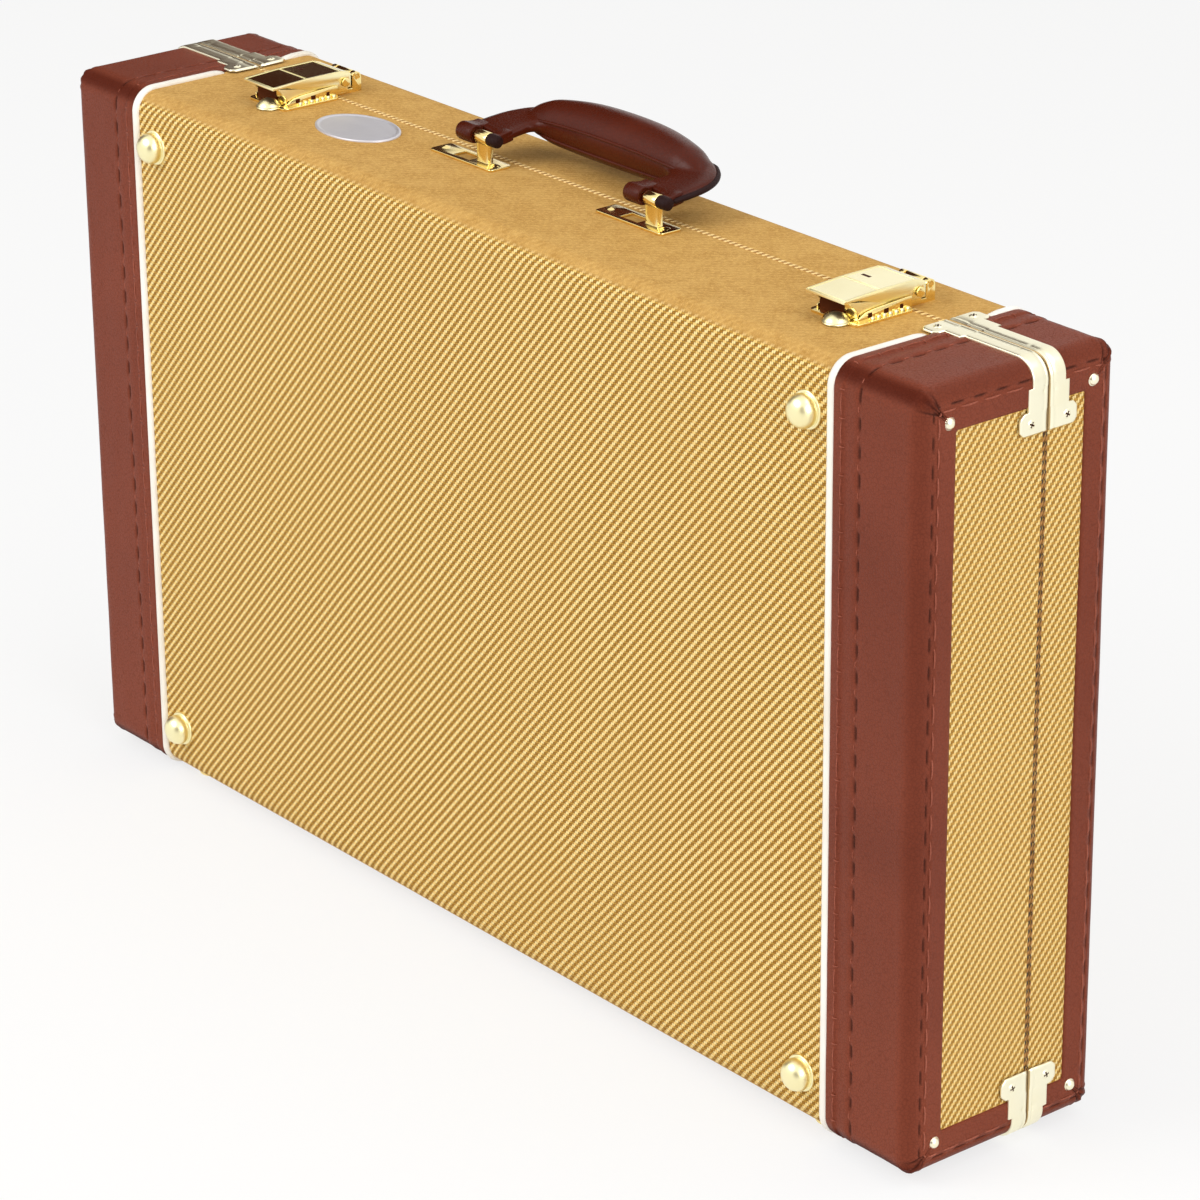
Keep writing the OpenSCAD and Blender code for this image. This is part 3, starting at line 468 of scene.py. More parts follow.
def rectangle(y0, y1, z0, z1):
    return [(y0, z0), (y0, z1), (y1, z1), (y1, z0)]


def soften(piece, width, segments=2):
    """Rounds the piece's edges with a bevel modifier."""
    soft = piece.modifiers.new("soft", "BEVEL")
    soft.width, soft.segments = width * MM, segments
    return soft


MERGE_M, FLAT_ANGLE, CORNER_ANGLE = 1e-6, math.radians(1.5), math.radians(28)


def bevelled(node, material, body, width, segments=2):
    """A copy of a CAD metal node's shape with softened edges, standing for the node."""
    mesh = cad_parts[node].data.copy()
    mesh.name = node + "_soft"
    bm = bmesh.new()
    bm.from_mesh(mesh)
    bmesh.ops.remove_doubles(bm, verts=bm.verts, dist=MERGE_M)
    bmesh.ops.dissolve_limit(bm, angle_limit=FLAT_ANGLE, verts=bm.verts, edges=bm.edges)
    bm.to_mesh(mesh)
    bm.free()
    piece = add_object(mesh.name, mesh, material, body, "gold", [node])
    soft = soften(piece, width, segments)
    soft.limit_method = "ANGLE"
    soft.angle_limit = CORNER_ANGLE
    soft.harden_normals = True
    return piece


def knots(table, x):
    """The height at x of a line through a table's points."""
    xs, hs = zip(*table)
    return np.interp(x, xs, hs)


# ---- the path of a half's skin round the case, from the seam on top to the seam below
SEAM_ROLL = 0.8
SEAM_ROLLS = [(90, 2.6)] + [(a, SEAM_ROLL * (1 - math.cos(math.radians(a)))) for a in (90, 60, 30)]
WINDOW_R = 1.5
CORNER_STEPS = 15


class Path:
    """Rows along one half's outline: a point, its outward normal and the matching point on the end
    window's outline, how far round a corner it is (-1 where it isn't in one), and how deep it is
    sunk where the skin turns in at the seam."""

    def __init__(self, lid, drop=0.0, line=1.6):
        out = 1.0 if lid else -1.0
        outer = LID_Y if lid else BASE_Y
        face = outer - out * drop
        seam = (LID_SEAM if lid else BASE_SEAM) + out * SEAM_ROLL
        high, low, r = HIGH_Z - drop, LOW_Z + drop, EDGE_R - drop
        mid = face - out * r
        window_y = outer - out * WINDOW
        window_mid = window_y - out * WINDOW_R
        window_high, window_low = HIGH_Z - WINDOW, LOW_Z + WINDOW
        rows = []

        def turned_in(rolls, z, up, window_z):
            for a, sink in rolls:
                y = seam - out * SEAM_ROLL * math.sin(math.radians(a))
                rows.append(((y, z), (0, up), (y, window_z), -1.0, sink))

        def straight(start, end, normal, window_start, window_end, skip=1):
            start, end, window_start, window_end = map(
                np.array, (start, end, window_start, window_end))
            count = max(2, math.ceil(1 / (line / np.linalg.norm(end - start))) + 1)
            for t in np.linspace(0, 1, count)[skip:]:
                rows.append((start + (end - start) * t, normal,
                             window_start + (window_end - window_start) * t, -1.0, 0.0))

        def corner(z, window_z, first):
            """A quarter turn about (mid, z) from the angle first."""
            for t in np.linspace(0, 1, CORNER_STEPS)[1:]:
                a = first + t * math.pi / 2
                n = (out * math.sin(a), math.cos(a))
                rows.append(((mid + r * n[0], z + r * n[1]), n,
                             (window_mid + WINDOW_R * n[0], window_z + WINDOW_R * n[1]), t, 0.0))

        turned_in(SEAM_ROLLS, high, 1, window_high)
        straight((seam, high), (mid, high), (0, 1),
                 (seam, window_high), (window_mid, window_high), skip=0)
        corner(high - r, window_high - WINDOW_R, 0.0)
        straight((face, high - r), (face, low + r), (out, 0),
                 (window_y, window_high - WINDOW_R), (window_y, window_low + WINDOW_R))
        corner(low + r, window_low + WINDOW_R, math.pi / 2)
        straight((mid, low), (seam, low), (0, -1), (window_mid, window_low), (seam, window_low))
        turned_in(SEAM_ROLLS[::-1], low, -1, window_low)
        self.point, self.normal, self.window, self.corner, self.sink = (
            np.array(column, float) for column in zip(*rows))
        gaps = np.linalg.norm(np.diff(self.point, axis=0), axis=1)
        self.along = np.concatenate([[0.0], np.cumsum(gaps)])

    def at(self, s):
        """Point, normal and window point at arc lengths s."""
        def pick(values):
            return np.stack([np.interp(s, self.along, values[:, k]) for k in (0, 1)], -1)

        n = pick(self.normal)
        return pick(self.point), n / np.linalg.norm(n, axis=-1, keepdims=True), pick(self.window)


# ---- leather ends: a folded strip beside the piping, a panel, and a frame round the window
STITCH_PITCH = 12.4
STITCH_LINE = 259.1
FOLD_EDGE = 269.2
WELT_ANGLE = math.radians(78)
BAND_KNOTS = [(252.4, -1.2), (253.2, -0.2), (254.6, 0.40), (256.5, 0.58), (258.6, 0.62),
              (259.2, 0.50), (259.8, -0.12), (261.5, -0.05), (264.5, 0.26), (267.0, 0.34),
              (268.2, 0.22), (269.2, 0.0), (270.4, 0.04), (272.0, 0.0), (290.0, 0.0), (297.0, 0.0)]
FRAME_KNOTS = [(0.0, 0.05), (0.06, 0.42), (0.14, 0.50), (0.30, 0.42), (0.55, 0.32), (0.90, 0.22),
               (1.0, -0.10)]
BAND_ROWS = set([x for x, _ in BAND_KNOTS] + list(np.arange(255, 297, 1.5)) + [268.7, 269.7])
ROUND_ROWS = [9, 18, 27, 36, 45, 54, 63, 70, 73, 75, 76.5, 78, 79.5, 81, 83, 86, 90]
FRAME_ROWS = sorted(set([t for t, _ in FRAME_KNOTS] + list(np.linspace(0, 1, 13))))[1:]
END_ROWS = ([("band", x) for x in sorted(BAND_ROWS)]
            + [("round", a) for a in np.radians(ROUND_ROWS)] + [("frame", t) for t in FRAME_ROWS])
HEM = 0.9
PLEATS, PLEAT_WIDTH, PLEAT_DEPTH, PLEAT_REACH = (0.22, 0.5, 0.78), 0.08, 1.2, 0.75
LOWEST, CORNER_SWELL, FRAME_SWELL = -0.8, 1.6, 0.8
# END_ROUNDING_SHADE: how much painted shade lies on the rounding onto the end
END_ROUNDING_SHADE, RUMPLE, SLOW_WAVE = 0.3, 1.1, 0.16
FOLD_WIDTH, WELT_WIDTH = 0.95, 0.075
WELT_GROOVE, WELT_DASH = 0.25, 0.6


def end_surface(path, side, kind, a, s=None):
    """Points, normals, and painted shade in folds and on roundings, of one row of an end's leather.

    kind is band (a is x), round (a is an angle) or frame (a goes from 0 at the rounding to 1 at the
    window); s holds the arc lengths wanted, or is left out for all rows of the path."""
    if s is None:
        s, p, n, w = path.along, path.point, path.normal, path.window
        sink, corner = path.sink, path.corner
    else:
        p, n, w = path.at(s)
        sink, corner = np.zeros(len(s)), -np.ones(len(s))
    dash = np.clip(0.55 + 1.6 * np.cos(TURN * s / STITCH_PITCH), 0, 1)
    reach = swell = over = 0.0
    if kind == "band":
        x, yz, out_x, out_yz, turn, over = a, p, 0.0, 1.0, 0.0, 1.0
        h = knots(BAND_KNOTS, a) - math.exp(-((a - FOLD_EDGE) / FOLD_WIDTH) ** 2) * dash
    elif kind == "round":
        out_x, out_yz, turn = math.sin(a), math.cos(a), a
        x, yz = END_X - END_R + END_R * out_x, p - END_R * n * (1 - out_yz)
        h = -math.exp(-((a - WELT_ANGLE) / WELT_WIDTH) ** 2) * (WELT_GROOVE + WELT_DASH * dash)
        reach, swell, over = out_x, CORNER_SWELL * math.sin(2 * a), out_yz ** 0.7
    else:
        inner = p - END_R * n
        x, yz, out_x, out_yz = END_X, inner + (w - inner) * a, 1.0, 0.0
        turn = math.pi / 2 + 1.4 * a
        h = knots(FRAME_KNOTS, a)
        reach = max(0.0, 1 - a / PLEAT_REACH)
        swell = FRAME_SWELL * reach

    in_corner = np.where(corner >= 0, np.sin(math.pi * np.clip(corner, 0, 1)), 0)
    crease = sum(np.where(corner >= 0, np.exp(-((corner - c) / PLEAT_WIDTH) ** 2), 0)
                 for c in PLEATS)
    rumple = reach ** 2 * in_corner * np.array(
        [noise.noise((t * 0.36, 3.5 * turn, side * 7.0 + 0.5)) for t in s])
    slow = SLOW_WAVE * np.array([noise.noise((t * 0.03, a * 0.11, side * 3.0)) for t in s])
    h = h - PLEAT_DEPTH * reach * crease + swell * in_corner + RUMPLE * rumple
    h = np.maximum(h, LOWEST)
    skin = sink == 0
    # painted shade in stitched grooves, pleats and rumple troughs
    fold = np.where(skin, np.clip((-0.30 - h) / 0.55, 0, 1), 0)
    fold = np.maximum(fold, np.clip(1.9 * reach * crease - 0.7, 0, 1))
    fold = np.maximum(fold, np.clip(-3.2 * rumple - 0.15, 0, 0.85))
    h = h + np.where(skin, slow, 0)

    normal = np.column_stack([np.full(len(s), out_x), n * out_yz])
    # painted shade on the case's roundings and on the rounding onto the end
    over_face = over * np.clip((2 * np.abs(n[:, 0] * n[:, 1]) - 0.55) / 0.4, 0, 1)
    over_end = np.clip((2 * out_x * np.hypot(normal[:, 1], normal[:, 2]) - 0.4) / 0.5, 0, 1)
    points = np.column_stack([np.full(len(s), x), yz]) + normal * (h - sink)[:, None]
    for vectors in (points, normal):
        vectors[:, 0] *= side
    return points, normal, fold, np.maximum(over_face, END_ROUNDING_SHADE * over_end)


def leather_end(lid, side):
    path, node = Path(lid), half_name(lid, "_leather", side)
    made = [end_surface(path, side, kind, a) for kind, a in END_ROWS]
    rows, _, folds, edges = (list(column) for column in zip(*made))
    hem = rows[-1].copy()
    hem[:, 0] -= side * HEM
    rows.append(hem)
    folds.append(folds[-1])
    edges.append(edges[-1])
    # fold and edge carry the painted shade to the leather material
    add_mesh(node + "_shell", np.concatenate(rows), grid_faces(len(rows), len(path.along)),
             "leather", half_name(lid), "leather", [node], shell=True,
             fold=np.concatenate(folds), edge=np.concatenate(edges))


THREAD_TIP, THREAD_SWELL, THREAD_ROUND = 0.35, 0.65, 0.4
THREAD_RINGS, THREAD_SIDES, THREAD_DIP = 9, 7, 0.30


def thread_row(name, segments, body, radius, arch):
    """One mesh of stitches: each segment is (start, end, normal), a thread that tapers and dips at
    its ends."""
    parts = []
    for start, end, normal in segments:
        across = np.cross(normal, end - start)
        across /= np.linalg.norm(across)

        def point(t, a):
            bow = max(math.sin(math.pi * t), 0.0)
            middle = start + (end - start) * t + normal * (arch * bow - THREAD_DIP * (1 - bow))
            r = radius * (THREAD_TIP + THREAD_SWELL * bow ** THREAD_ROUND)
            return middle + r * (math.cos(a) * across + math.sin(a) * normal)

        parts.append(sweep(np.linspace(0, 1, THREAD_RINGS), THREAD_SIDES, point))
    add_mesh(name, *merged(parts), "thread", body, "leather")


SEAM_CLEAR, LAST_STITCH = 4.0, 6.0
# stitches: the row they follow, half their length, and how far their ends stand off the leather
LONG_STITCH = ("band", STITCH_LINE - 0.2, 5.7, 0.02)
DASH_STITCH = ("band", FOLD_EDGE - 0.3, 1.9, -0.12)
# the welt's pale stitches are a painted highlight along the welt's edge
WELT_HIGHLIGHT_STITCH = ("frame", 0.03, 4.8, 0.06)
SLANT_FROM, SLANT_TO = (257.6, 0.1), (260.6, 0.35)
# a thread's radius and arch
THREAD, WELT_HIGHLIGHT_THREAD = (0.26, 0.18), (0.42, 0.2)


def end_stitches(lid, side):
    """Long stitches beside the piping with slanted ones between them, short ones in the fold's
    grooves, and pale stitches along the window's welt that are a painted highlight on its edge."""
    path, name = Path(lid), half_name(lid, "_stitches", side)
    length = path.along[-1]

    def stitch(centre, kind, a, half, lift):
        ends = np.array([centre - half, centre + half])
        if ends[0] <= SEAM_CLEAR or ends[1] >= length - SEAM_CLEAR:
            return []
        p, n, _, _ = end_surface(path, side, kind, a, ends)
        return [(p[0] + n[0] * lift, p[1] + n[1] * lift, n[0])]

    segments, welt = [], []
    for centre in np.arange(STITCH_PITCH / 2, length - LAST_STITCH, STITCH_PITCH):
        segments += stitch(centre, *LONG_STITCH) + stitch(centre, *DASH_STITCH)
        start = np.array([centre - STITCH_PITCH / 2])
        if start[0] > SEAM_CLEAR:
            p, n, _, _ = end_surface(path, side, "band", SLANT_FROM[0], start)
            q = end_surface(path, side, "band", SLANT_TO[0], start)[0]
            segments.append((p[0] + n[0] * SLANT_FROM[1], q[0] + n[0] * SLANT_TO[1], n[0]))
        welt += stitch(centre, *WELT_HIGHLIGHT_STITCH)
    thread_row(name, segments, half_name(lid), *THREAD)
    thread_row(name + "_welt", welt, half_name(lid), *WELT_HIGHLIGHT_THREAD)


# ---- tweed skins, piping and the folded cloth edges at the seam
PLAIN_TWILL, WINDOW_TWILL = 0.05, 0.85
WINDOW_SQUEEZE = 1.07
# the twill has faded to plain where a normal's upright part reaches FADE_AT
FADE_AT, FADE_OVER = 0.66, 0.12
# the cloth's edge, turned in at the seam: distance from it and sink
TURNED_IN = [(0.0, 1.8), (0.0, 0.5), (0.15, 0.15), (0.5, 0.0)]


def tweed_skin(lid):
    path, node = Path(lid, drop=TWEED_DROP, line=6.0), half_name(lid, "_tweed")
    xs, count = np.linspace(-TWEED_X - 2, TWEED_X + 2, 40), len(path.along)
    yz = path.point - path.normal * path.sink[:, None]
    verts = np.column_stack([np.repeat(xs, count), np.tile(yz, (len(xs), 1))])
    cloth = np.column_stack([np.repeat(-xs if lid else xs, count), np.tile(-path.along, len(xs)),
                             np.zeros(len(verts))])
    twill = np.clip((FADE_AT - np.abs(path.normal[:, 1])) / FADE_OVER, PLAIN_TWILL, 1.0)
    add_mesh(node + "_skin", verts, grid_faces(len(xs), count), "tweed", half_name(lid), "tweed",
             [node], shell=True, cloth=cloth, twill=np.tile(twill, len(xs)))


def end_window(lid, side):
    """The flat cloth in an end's window, with its edge turned in at the seam."""
    node = half_name(lid, "_end_tweed", side)
    low, high = box_mm(node)
    out, seam, edge = (1.0, LID_SEAM, high[1]) if lid else (-1.0, BASE_SEAM, low[1])
    x = high[0] if side > 0 else low[0]
    ys = [(seam + out * past, sink) for past, sink in TURNED_IN]
    ys += [(y, 0.0) for y in np.linspace(seam + out, edge + out, 12)]
    zs = np.linspace(low[2] - 1.0, high[2] + 1.0, 24)
    verts = [(x - side * sink, y, z) for z in zs for y, sink in ys]
    cloth = [(side * y * WINDOW_SQUEEZE, z, 0.0) for z in zs for y, _ in ys]
    add_mesh(node + "_cloth", verts, grid_faces(len(zs), len(ys)), "tweed", half_name(lid), "tweed",
             [node], shell=True, cloth=cloth, twill=[WINDOW_TWILL] * len(verts))


BEAD_X = (BAND_X + TWEED_X) / 2
BEAD_HALF = (BAND_X - TWEED_X) / 2 + 0.2
BEAD_LOW, BEAD_HIGH, BEAD_EASE, BEAD_SIDES = -0.65, 1.75, np.array((0.35, 0.8)), 20
CLAMP_EAR = 16.2


def piping(lid, side):
    path, node = Path(lid, line=3.0), half_name(lid, "_piping", side)
    keep = (path.sink == 0) & (np.abs(path.point[:, 0] - SEAM_Y) > CLAMP_EAR)
    height = np.full(keep.sum(), BEAD_HIGH)
    height[:2] *= BEAD_EASE
    height[-2:] *= BEAD_EASE[::-1]

    def point(row, a):
        (y, z), (ny, nz), high = row
        lift = BEAD_LOW + high * math.sin(a)
        return side * (BEAD_X + BEAD_HALF * math.cos(a)), y + ny * lift, z + nz * lift

    rows = zip(path.point[keep], path.normal[keep], height)
    add_mesh(node + "_bead", *sweep(rows, BEAD_SIDES, point), "piping", half_name(lid), "piping",
             [node])


CORD_PITCH, END_CORD_PITCH = 3.6, 4.1
CORD_STEP, CORD_SIDES, CORD_SINK, END_CORD_SINK = 0.6, 8, 0.1, 1.15
ACROSS_SEAM = np.array((0.0, 1.0, 0.0))
CORDS = (("base", BASE_SEAM - 0.65, 0.72), ("lid", LID_SEAM + 0.5, 0.5))


def seam_cord(name, start, end, up, body, radius, pitch, shading="cord"):
    """A twisted two-ply edge from start to end; up is the face's normal, and shading is its
    material: the cord or the cord painted in shade.
    """
    start, end, up = (np.array(v, float) for v in (start, end, up))
    length, lift = np.linalg.norm(end - start), []

    def point(t, a):
        ply = 0.5 + 0.5 * math.cos(TURN * length * t / pitch + a)
        lift.append(ply)
        r = radius * (0.5 + 0.5 * ply)
        return start + (end - start) * t + r * (math.cos(a) * ACROSS_SEAM + math.sin(a) * up)

    count = int(length / CORD_STEP)
    verts, faces = sweep(np.arange(count + 1) / count, CORD_SIDES, point)
    add_mesh(name, verts, faces, shading, body, "tweed", lift=lift)


def seam_cords():
    inside = TWEED_X - 1.0
    top, bottom = TWEED_TOP - CORD_SINK, LOW_Z + TWEED_DROP + CORD_SINK
    for body, y, radius in CORDS:
        for tag, z, up in (("top", top, 1), ("bottom", bottom, -1)):
            seam_cord(f"{body}_seam_{tag}", (-inside, y, z), (inside, y, z), (0, 0, up), body,
                      radius, CORD_PITCH)
        # the seams on the ends take the cord painted in shade
        for side, tag in ((1, "right"), (-1, "left")):
            x = side * (END_X - END_CORD_SINK)
            seam_cord(f"{body}_seam_{tag}", (x, y, LOW_Z + WINDOW), (x, y, HIGH_Z - WINDOW),
                      (side, 0, 0), body, radius + 0.2, END_CORD_PITCH, "shaded_cord")


# ---- corner clamps and small fasteners
CLAMP_T = 1.1
CLAMP_STRIP, CLAMP_NECK, CLAMP_EARS = 9.2, 11.4, 16.0
CLAMP_STEP, CLAMP_REACH_X, CLAMP_REACH_Z = 10.0, 60.0, 31.0
CLAMP_CUT, SCREW_EDGE = 2.2, 6.0
CHANNEL_HALF = 0.8
STEP_RUN = 0.15
CLAMP_OUTLINE = [(0.0, CLAMP_EARS - CLAMP_CUT), (CLAMP_CUT, CLAMP_EARS),
                 (CLAMP_STEP - CLAMP_CUT, CLAMP_EARS), (CLAMP_STEP, CLAMP_EARS - CLAMP_CUT),
                 (CLAMP_STEP + STEP_RUN, CLAMP_NECK), (2 * CLAMP_STEP, CLAMP_NECK),
                 (2 * CLAMP_STEP + STEP_RUN, CLAMP_STRIP)]
CLAMP_MARKS = (0.0, 0.75, 1.6, 3.0, CLAMP_STEP - 3, CLAMP_STEP - 0.75, CLAMP_STEP,
               CLAMP_STEP + STEP_RUN, 2 * CLAMP_STEP, 2 * CLAMP_STEP + STEP_RUN)
CLAMP_PROFILE = [(0.0, 0.0), (0.0, 0.45), (0.06, 0.45), (0.09, 1.0), (0.16, 1.0), (0.20, 0.80),
                 (0.24, 0.80), (0.28, 1.0), (0.5, 1.03), (0.8, 1.03), (0.93, 1.0), (0.975, 0.9),
                 (1.0, 0.6), (1.0, 0.0)]
DENT_DEPTH, DENT_SPREAD, DENT_ACROSS = 0.55, 0.45, 2.9
DENT_BEFORE, DENT_AFTER, CLAMP_GRID = 5.0, 4.0, 0.8
TIP_EASE, TIP_SHARE, TIP_GAIN = 0.6, 0.55, 0.45


def clamp(lid, side, low):
    """One bent plate from its ear on top round the end; CLAMP_OUTLINE is its half width by the
    distance from a tip, and CLAMP_PROFILE its section as shares of the width and thickness."""
    flat_x, flat_z = CLAMP_REACH_X - END_R, CLAMP_REACH_Z - END_R
    bend = END_R * math.pi / 2
    total = flat_x + bend + flat_z
    marks = set(np.arange(0, total, CLAMP_GRID)) | {total}
    for edge in CLAMP_MARKS:
        marks |= {edge, total - edge}
    dents = (flat_x - DENT_BEFORE, flat_x + bend + DENT_AFTER)
    gap, away = LID_SEAM - SEAM_Y, 1.0 if lid else -1.0
    verts = []
    for t in sorted(marks):
        from_tip = min(t, total - t)
        width = knots(CLAMP_OUTLINE, from_tip)
        tip = min(1.0, TIP_SHARE + from_tip / TIP_EASE * TIP_GAIN)
        for f, h in CLAMP_PROFILE:
            across = gap + (width - gap) * f
            lift = CLAMP_T * h * tip
            for at in dents if h > 0.7 else ():
                away_from_dent = (t - at) ** 2 + (across - DENT_ACROSS) ** 2
                lift -= DENT_DEPTH * math.exp(-away_from_dent / DENT_SPREAD)
            if t < flat_x:
                x, z = END_X - CLAMP_REACH_X + t, HIGH_Z + lift
            elif t < flat_x + bend:
                a = (t - flat_x) / END_R
                x = END_X - END_R + (END_R + lift) * math.sin(a)
                z = HIGH_Z - END_R + (END_R + lift) * math.cos(a)
            else:
                x, z = END_X + lift, HIGH_Z - END_R - (t - flat_x - bend)
            verts.append((side * x, SEAM_Y + away * across, LOW_Z + HIGH_Z - z if low else z))
    rows, cols = len(marks), len(CLAMP_PROFILE)
    faces = grid_faces(rows, cols)
    faces += [list(range(cols)), [(rows - 1) * cols + k for k in range(cols)]]
    return verts, faces


def clamps(lid, side):
    node = half_name(lid, "_clamps", side)
    piece = add_mesh(node + "_plate", *merged([clamp(lid, side, low) for low in (False, True)]),
                     "pale_gold", half_name(lid), "gold", [node])
    # painted shade on the strip along the seam between the halves
    piece.data.materials.append(MATS["channel_shade"])
    for face in piece.data.polygons:
        if abs(face.center.y / MM - SEAM_Y) < CHANNEL_HALF:
            face.material_index = 1


SCREW_R, SCREW_HIGH, SCREW_SLOT = 2.1, 0.8, (0.34, 0.42, 1.35)
CROSS_LONG, CROSS_WIDE, CROSS_LOW, CROSS_HIGH = 1.3, 0.36, 0.1, 0.62


def screw_cross():
    """Two dark bars at the bottom of a screw's cross slot: painted shade in the slot."""
    bars = []
    for x, y in ((CROSS_LONG, CROSS_WIDE), (CROSS_WIDE, CROSS_LONG)):
        corners = ((-x, -y), (x, -y), (x, y), (-x, y))
        bars.append(([corner + (z,) for z in (CROSS_LOW, CROSS_HIGH) for corner in corners],
                     tube_faces(2, 4)))
    return merged(bars)


# how far the screws' crosses are turned, in radians: on top and below, then on the ends
FLAT_TURN, FLAT_APART, END_TURN, END_APART = 0.4, 0.3, 0.7, 0.4


def clamp_screws(lid):
    body, away = half_name(lid), 1.0 if lid else -1.0
    y = SEAM_Y + away * (CLAMP_EARS - SCREW_EDGE)
    ear_x, ear_z = END_X - CLAMP_REACH_X + CLAMP_STEP / 2, CLAMP_REACH_Z - CLAMP_STEP / 2
    places = []
    for side in (-1, 1):
        for z, up in ((HIGH_Z, 1), (LOW_Z, -1)):
            places.append(((side * ear_x, y, z + up * CLAMP_T), (0, 0, up),
                           FLAT_TURN + side * FLAT_APART))
            places.append(((side * (END_X + CLAMP_T), y, z - up * ear_z), (side, 0, 0),
                           END_TURN + up * END_APART))
    head = lathe([(SCREW_R, -0.1)] + dome_profile(SCREW_R, SCREW_HIGH, 16), 48, SCREW_SLOT)
    add_mesh(body + "_screw_heads", *placed([head + place for place in places]), "pale_gold", body,
             "gold", [body + "_screws"])
    # painted shade in the screws' cross slots
    add_mesh(body + "_screw_slot_shades", *placed([screw_cross() + place for place in places]),
             "shadow", body, "gold", smooth=False)


STUD_R, STUD_HIGH = 2.8, 1.9
# a stud's foot: what is added to STUD_R, and height; then how the dome sits in it
STUD_FOOT, STUD_INSET, STUD_LIFT = [(0.0, -0.2), (0.15, 0.1), (0.0, 0.4)], 0.2, 0.3
FOOT_R = 8.5
# a foot's outline from its base up: how far inside FOOT_R, and height
FOOT_PROFILE = [(0.0, 0.0), (0.0, 0.6), (0.3, 1.0), (0.9, 1.1), (1.3, 1.0), (1.25, 1.6),
                (0.95, 2.8), (1.1, 4.2), (1.8, 5.8), (3.0, 7.2), (4.6, 8.1), (6.4, 8.6)]


def end_studs(lid):
    node = half_name(lid, "_end_studs")
    low, high = box_mm(node)
    y = (low[1] + high[1]) / 2
    stud = lathe([(STUD_R + more, z) for more, z in STUD_FOOT]
                 + dome_profile(STUD_R - STUD_INSET, STUD_HIGH, lift=STUD_LIFT))
    parts = [stud + ((side * END_X, y, z), (side, 0, 0), 0.0)
             for side in (-1, 1) for z in (low[2] + STUD_R, high[2] - STUD_R)]
    add_mesh(node + "_caps", *placed(parts), "pale_gold", half_name(lid), "gold", [node])


def feet():
    low, high = box_mm("base_feet")
    outline = [(FOOT_R - inset, z) for inset, z in FOOT_PROFILE] + [(0.15, high[1] - low[1])]
    foot = lathe(outline, 56)
    parts = [foot + ((x, high[1], z), (0, -1, 0), 0.0)
             for x in (low[0] + FOOT_R, high[0] - FOOT_R)
             for z in (low[2] + FOOT_R, high[2] - FOOT_R)]
    add_mesh("feet_domes", *placed(parts), "bright_gold", "base", "gold", ["base_feet"])


# ---- the handle: a flat leather strap that swells into a padded grip
HANDLE_LEAN = math.radians(82)
# half the strap, outermost first: shift along X, then x, height, half width, half thickness
EAR = [(-1.75, 60.5, 4.4, 12.8, 2.6), (-1.2, 60.6, 9.0, 12.7, 2.7), (-0.5, 61.0, 15.0, 12.4, 2.8),
       (0.0, 60.3, 21.5, 12.0, 2.9), (0.0, 56.5, 27.3, 11.0, 3.2), (0.0, 48.0, 31.8, 10.2, 3.6),
       (0.0, 25.0, 35.6, 10.0, 4.0)]
# half the grip: shift, x, height, radius
GRIP = [(0.0, 61.5, 26.0, 0.8), (0.0, 60.0, 27.6, 3.8), (0.0, 57.0, 29.6, 6.4),
        (0.0, 52.0, 31.6, 8.7), (0.0, 44.0, 33.4, 10.7), (0.0, 24.0, 35.7, 12.6)]
STRAP_MIDDLE, GRIP_MIDDLE, GRIP_OUT = (0, 36.6, 10.2, 4.2), (0, 36.4, 13.1), 0.75
ARCH_ROWS, LOFT_SIDES, WELT_SIDES, STRAP_POWER = 110, 40, 10, 0.6
VOXEL, RELAX_STEPS = 0.75, 9
RIM_FROM, WELT_SKIP = 47, 9
WELT_ANGLES = {"front": 202, "back": 158}
# how far off the leather, then a tapered tube's radius, tapering points and least share
EAR_RIM, GRIP_WELT = (0.1, 1.35, 5, 0.25), (0.05, 0.75, 8, 0.1)


def arch(rows, middle):
    """One end's rows mirrored to both ends, with smooth steps between them (Catmull-Rom)."""
    left = [(shift - x,) + tuple(rest) for shift, x, *rest in rows]
    right = [(shift + x,) + tuple(rest) for shift, x, *rest in rows]
    rows = np.array(left + [middle] + right[::-1], float)
    out = []
    for t in np.linspace(0, len(rows) - 1, ARCH_ROWS):
        i = min(int(t), len(rows) - 2)
        f = t - i
        a, b, c, d = (rows[min(max(i + k, 0), len(rows) - 1)] for k in (-1, 0, 1, 2))
        out.append(0.5 * (2 * b + (c - a) * f + (2 * a - 5 * b + 4 * c - d) * f ** 2
                          + (3 * b - a - 3 * c + d) * f ** 3))
    return np.array(out)


def arch_sides(line):
    """The directions across an arch, in its own plane."""
    run = np.gradient(line[:, :2], axis=0)
    run /= np.linalg.norm(run, axis=1, keepdims=True)
    return np.column_stack([-run[:, 1], run[:, 0]])


def from_handle(x, out, up):
    """A point of the handle's own frame (pin at the origin, grip upwards) in the row frame."""
    c, s = math.cos(HANDLE_LEAN), math.sin(HANDLE_LEAN)
    return (HANDLE_X + x, PIN_Y + out * c + up * s, PIN_Z - out * s + up * c)


def loft(line, shape):
    """A closed loft along an arch; shape(row, angle) is the offset across and out of its plane."""
    def point(place, a):
        row, (side_x, side_up) = place
        across, out = shape(row, a)
        return from_handle(row[0] + side_x * across, out, row[1] + side_up * across)

    return sweep(zip(line, arch_sides(line)), LOFT_SIDES, point)


def power(value, exponent):
    return math.copysign(abs(value) ** exponent, value)


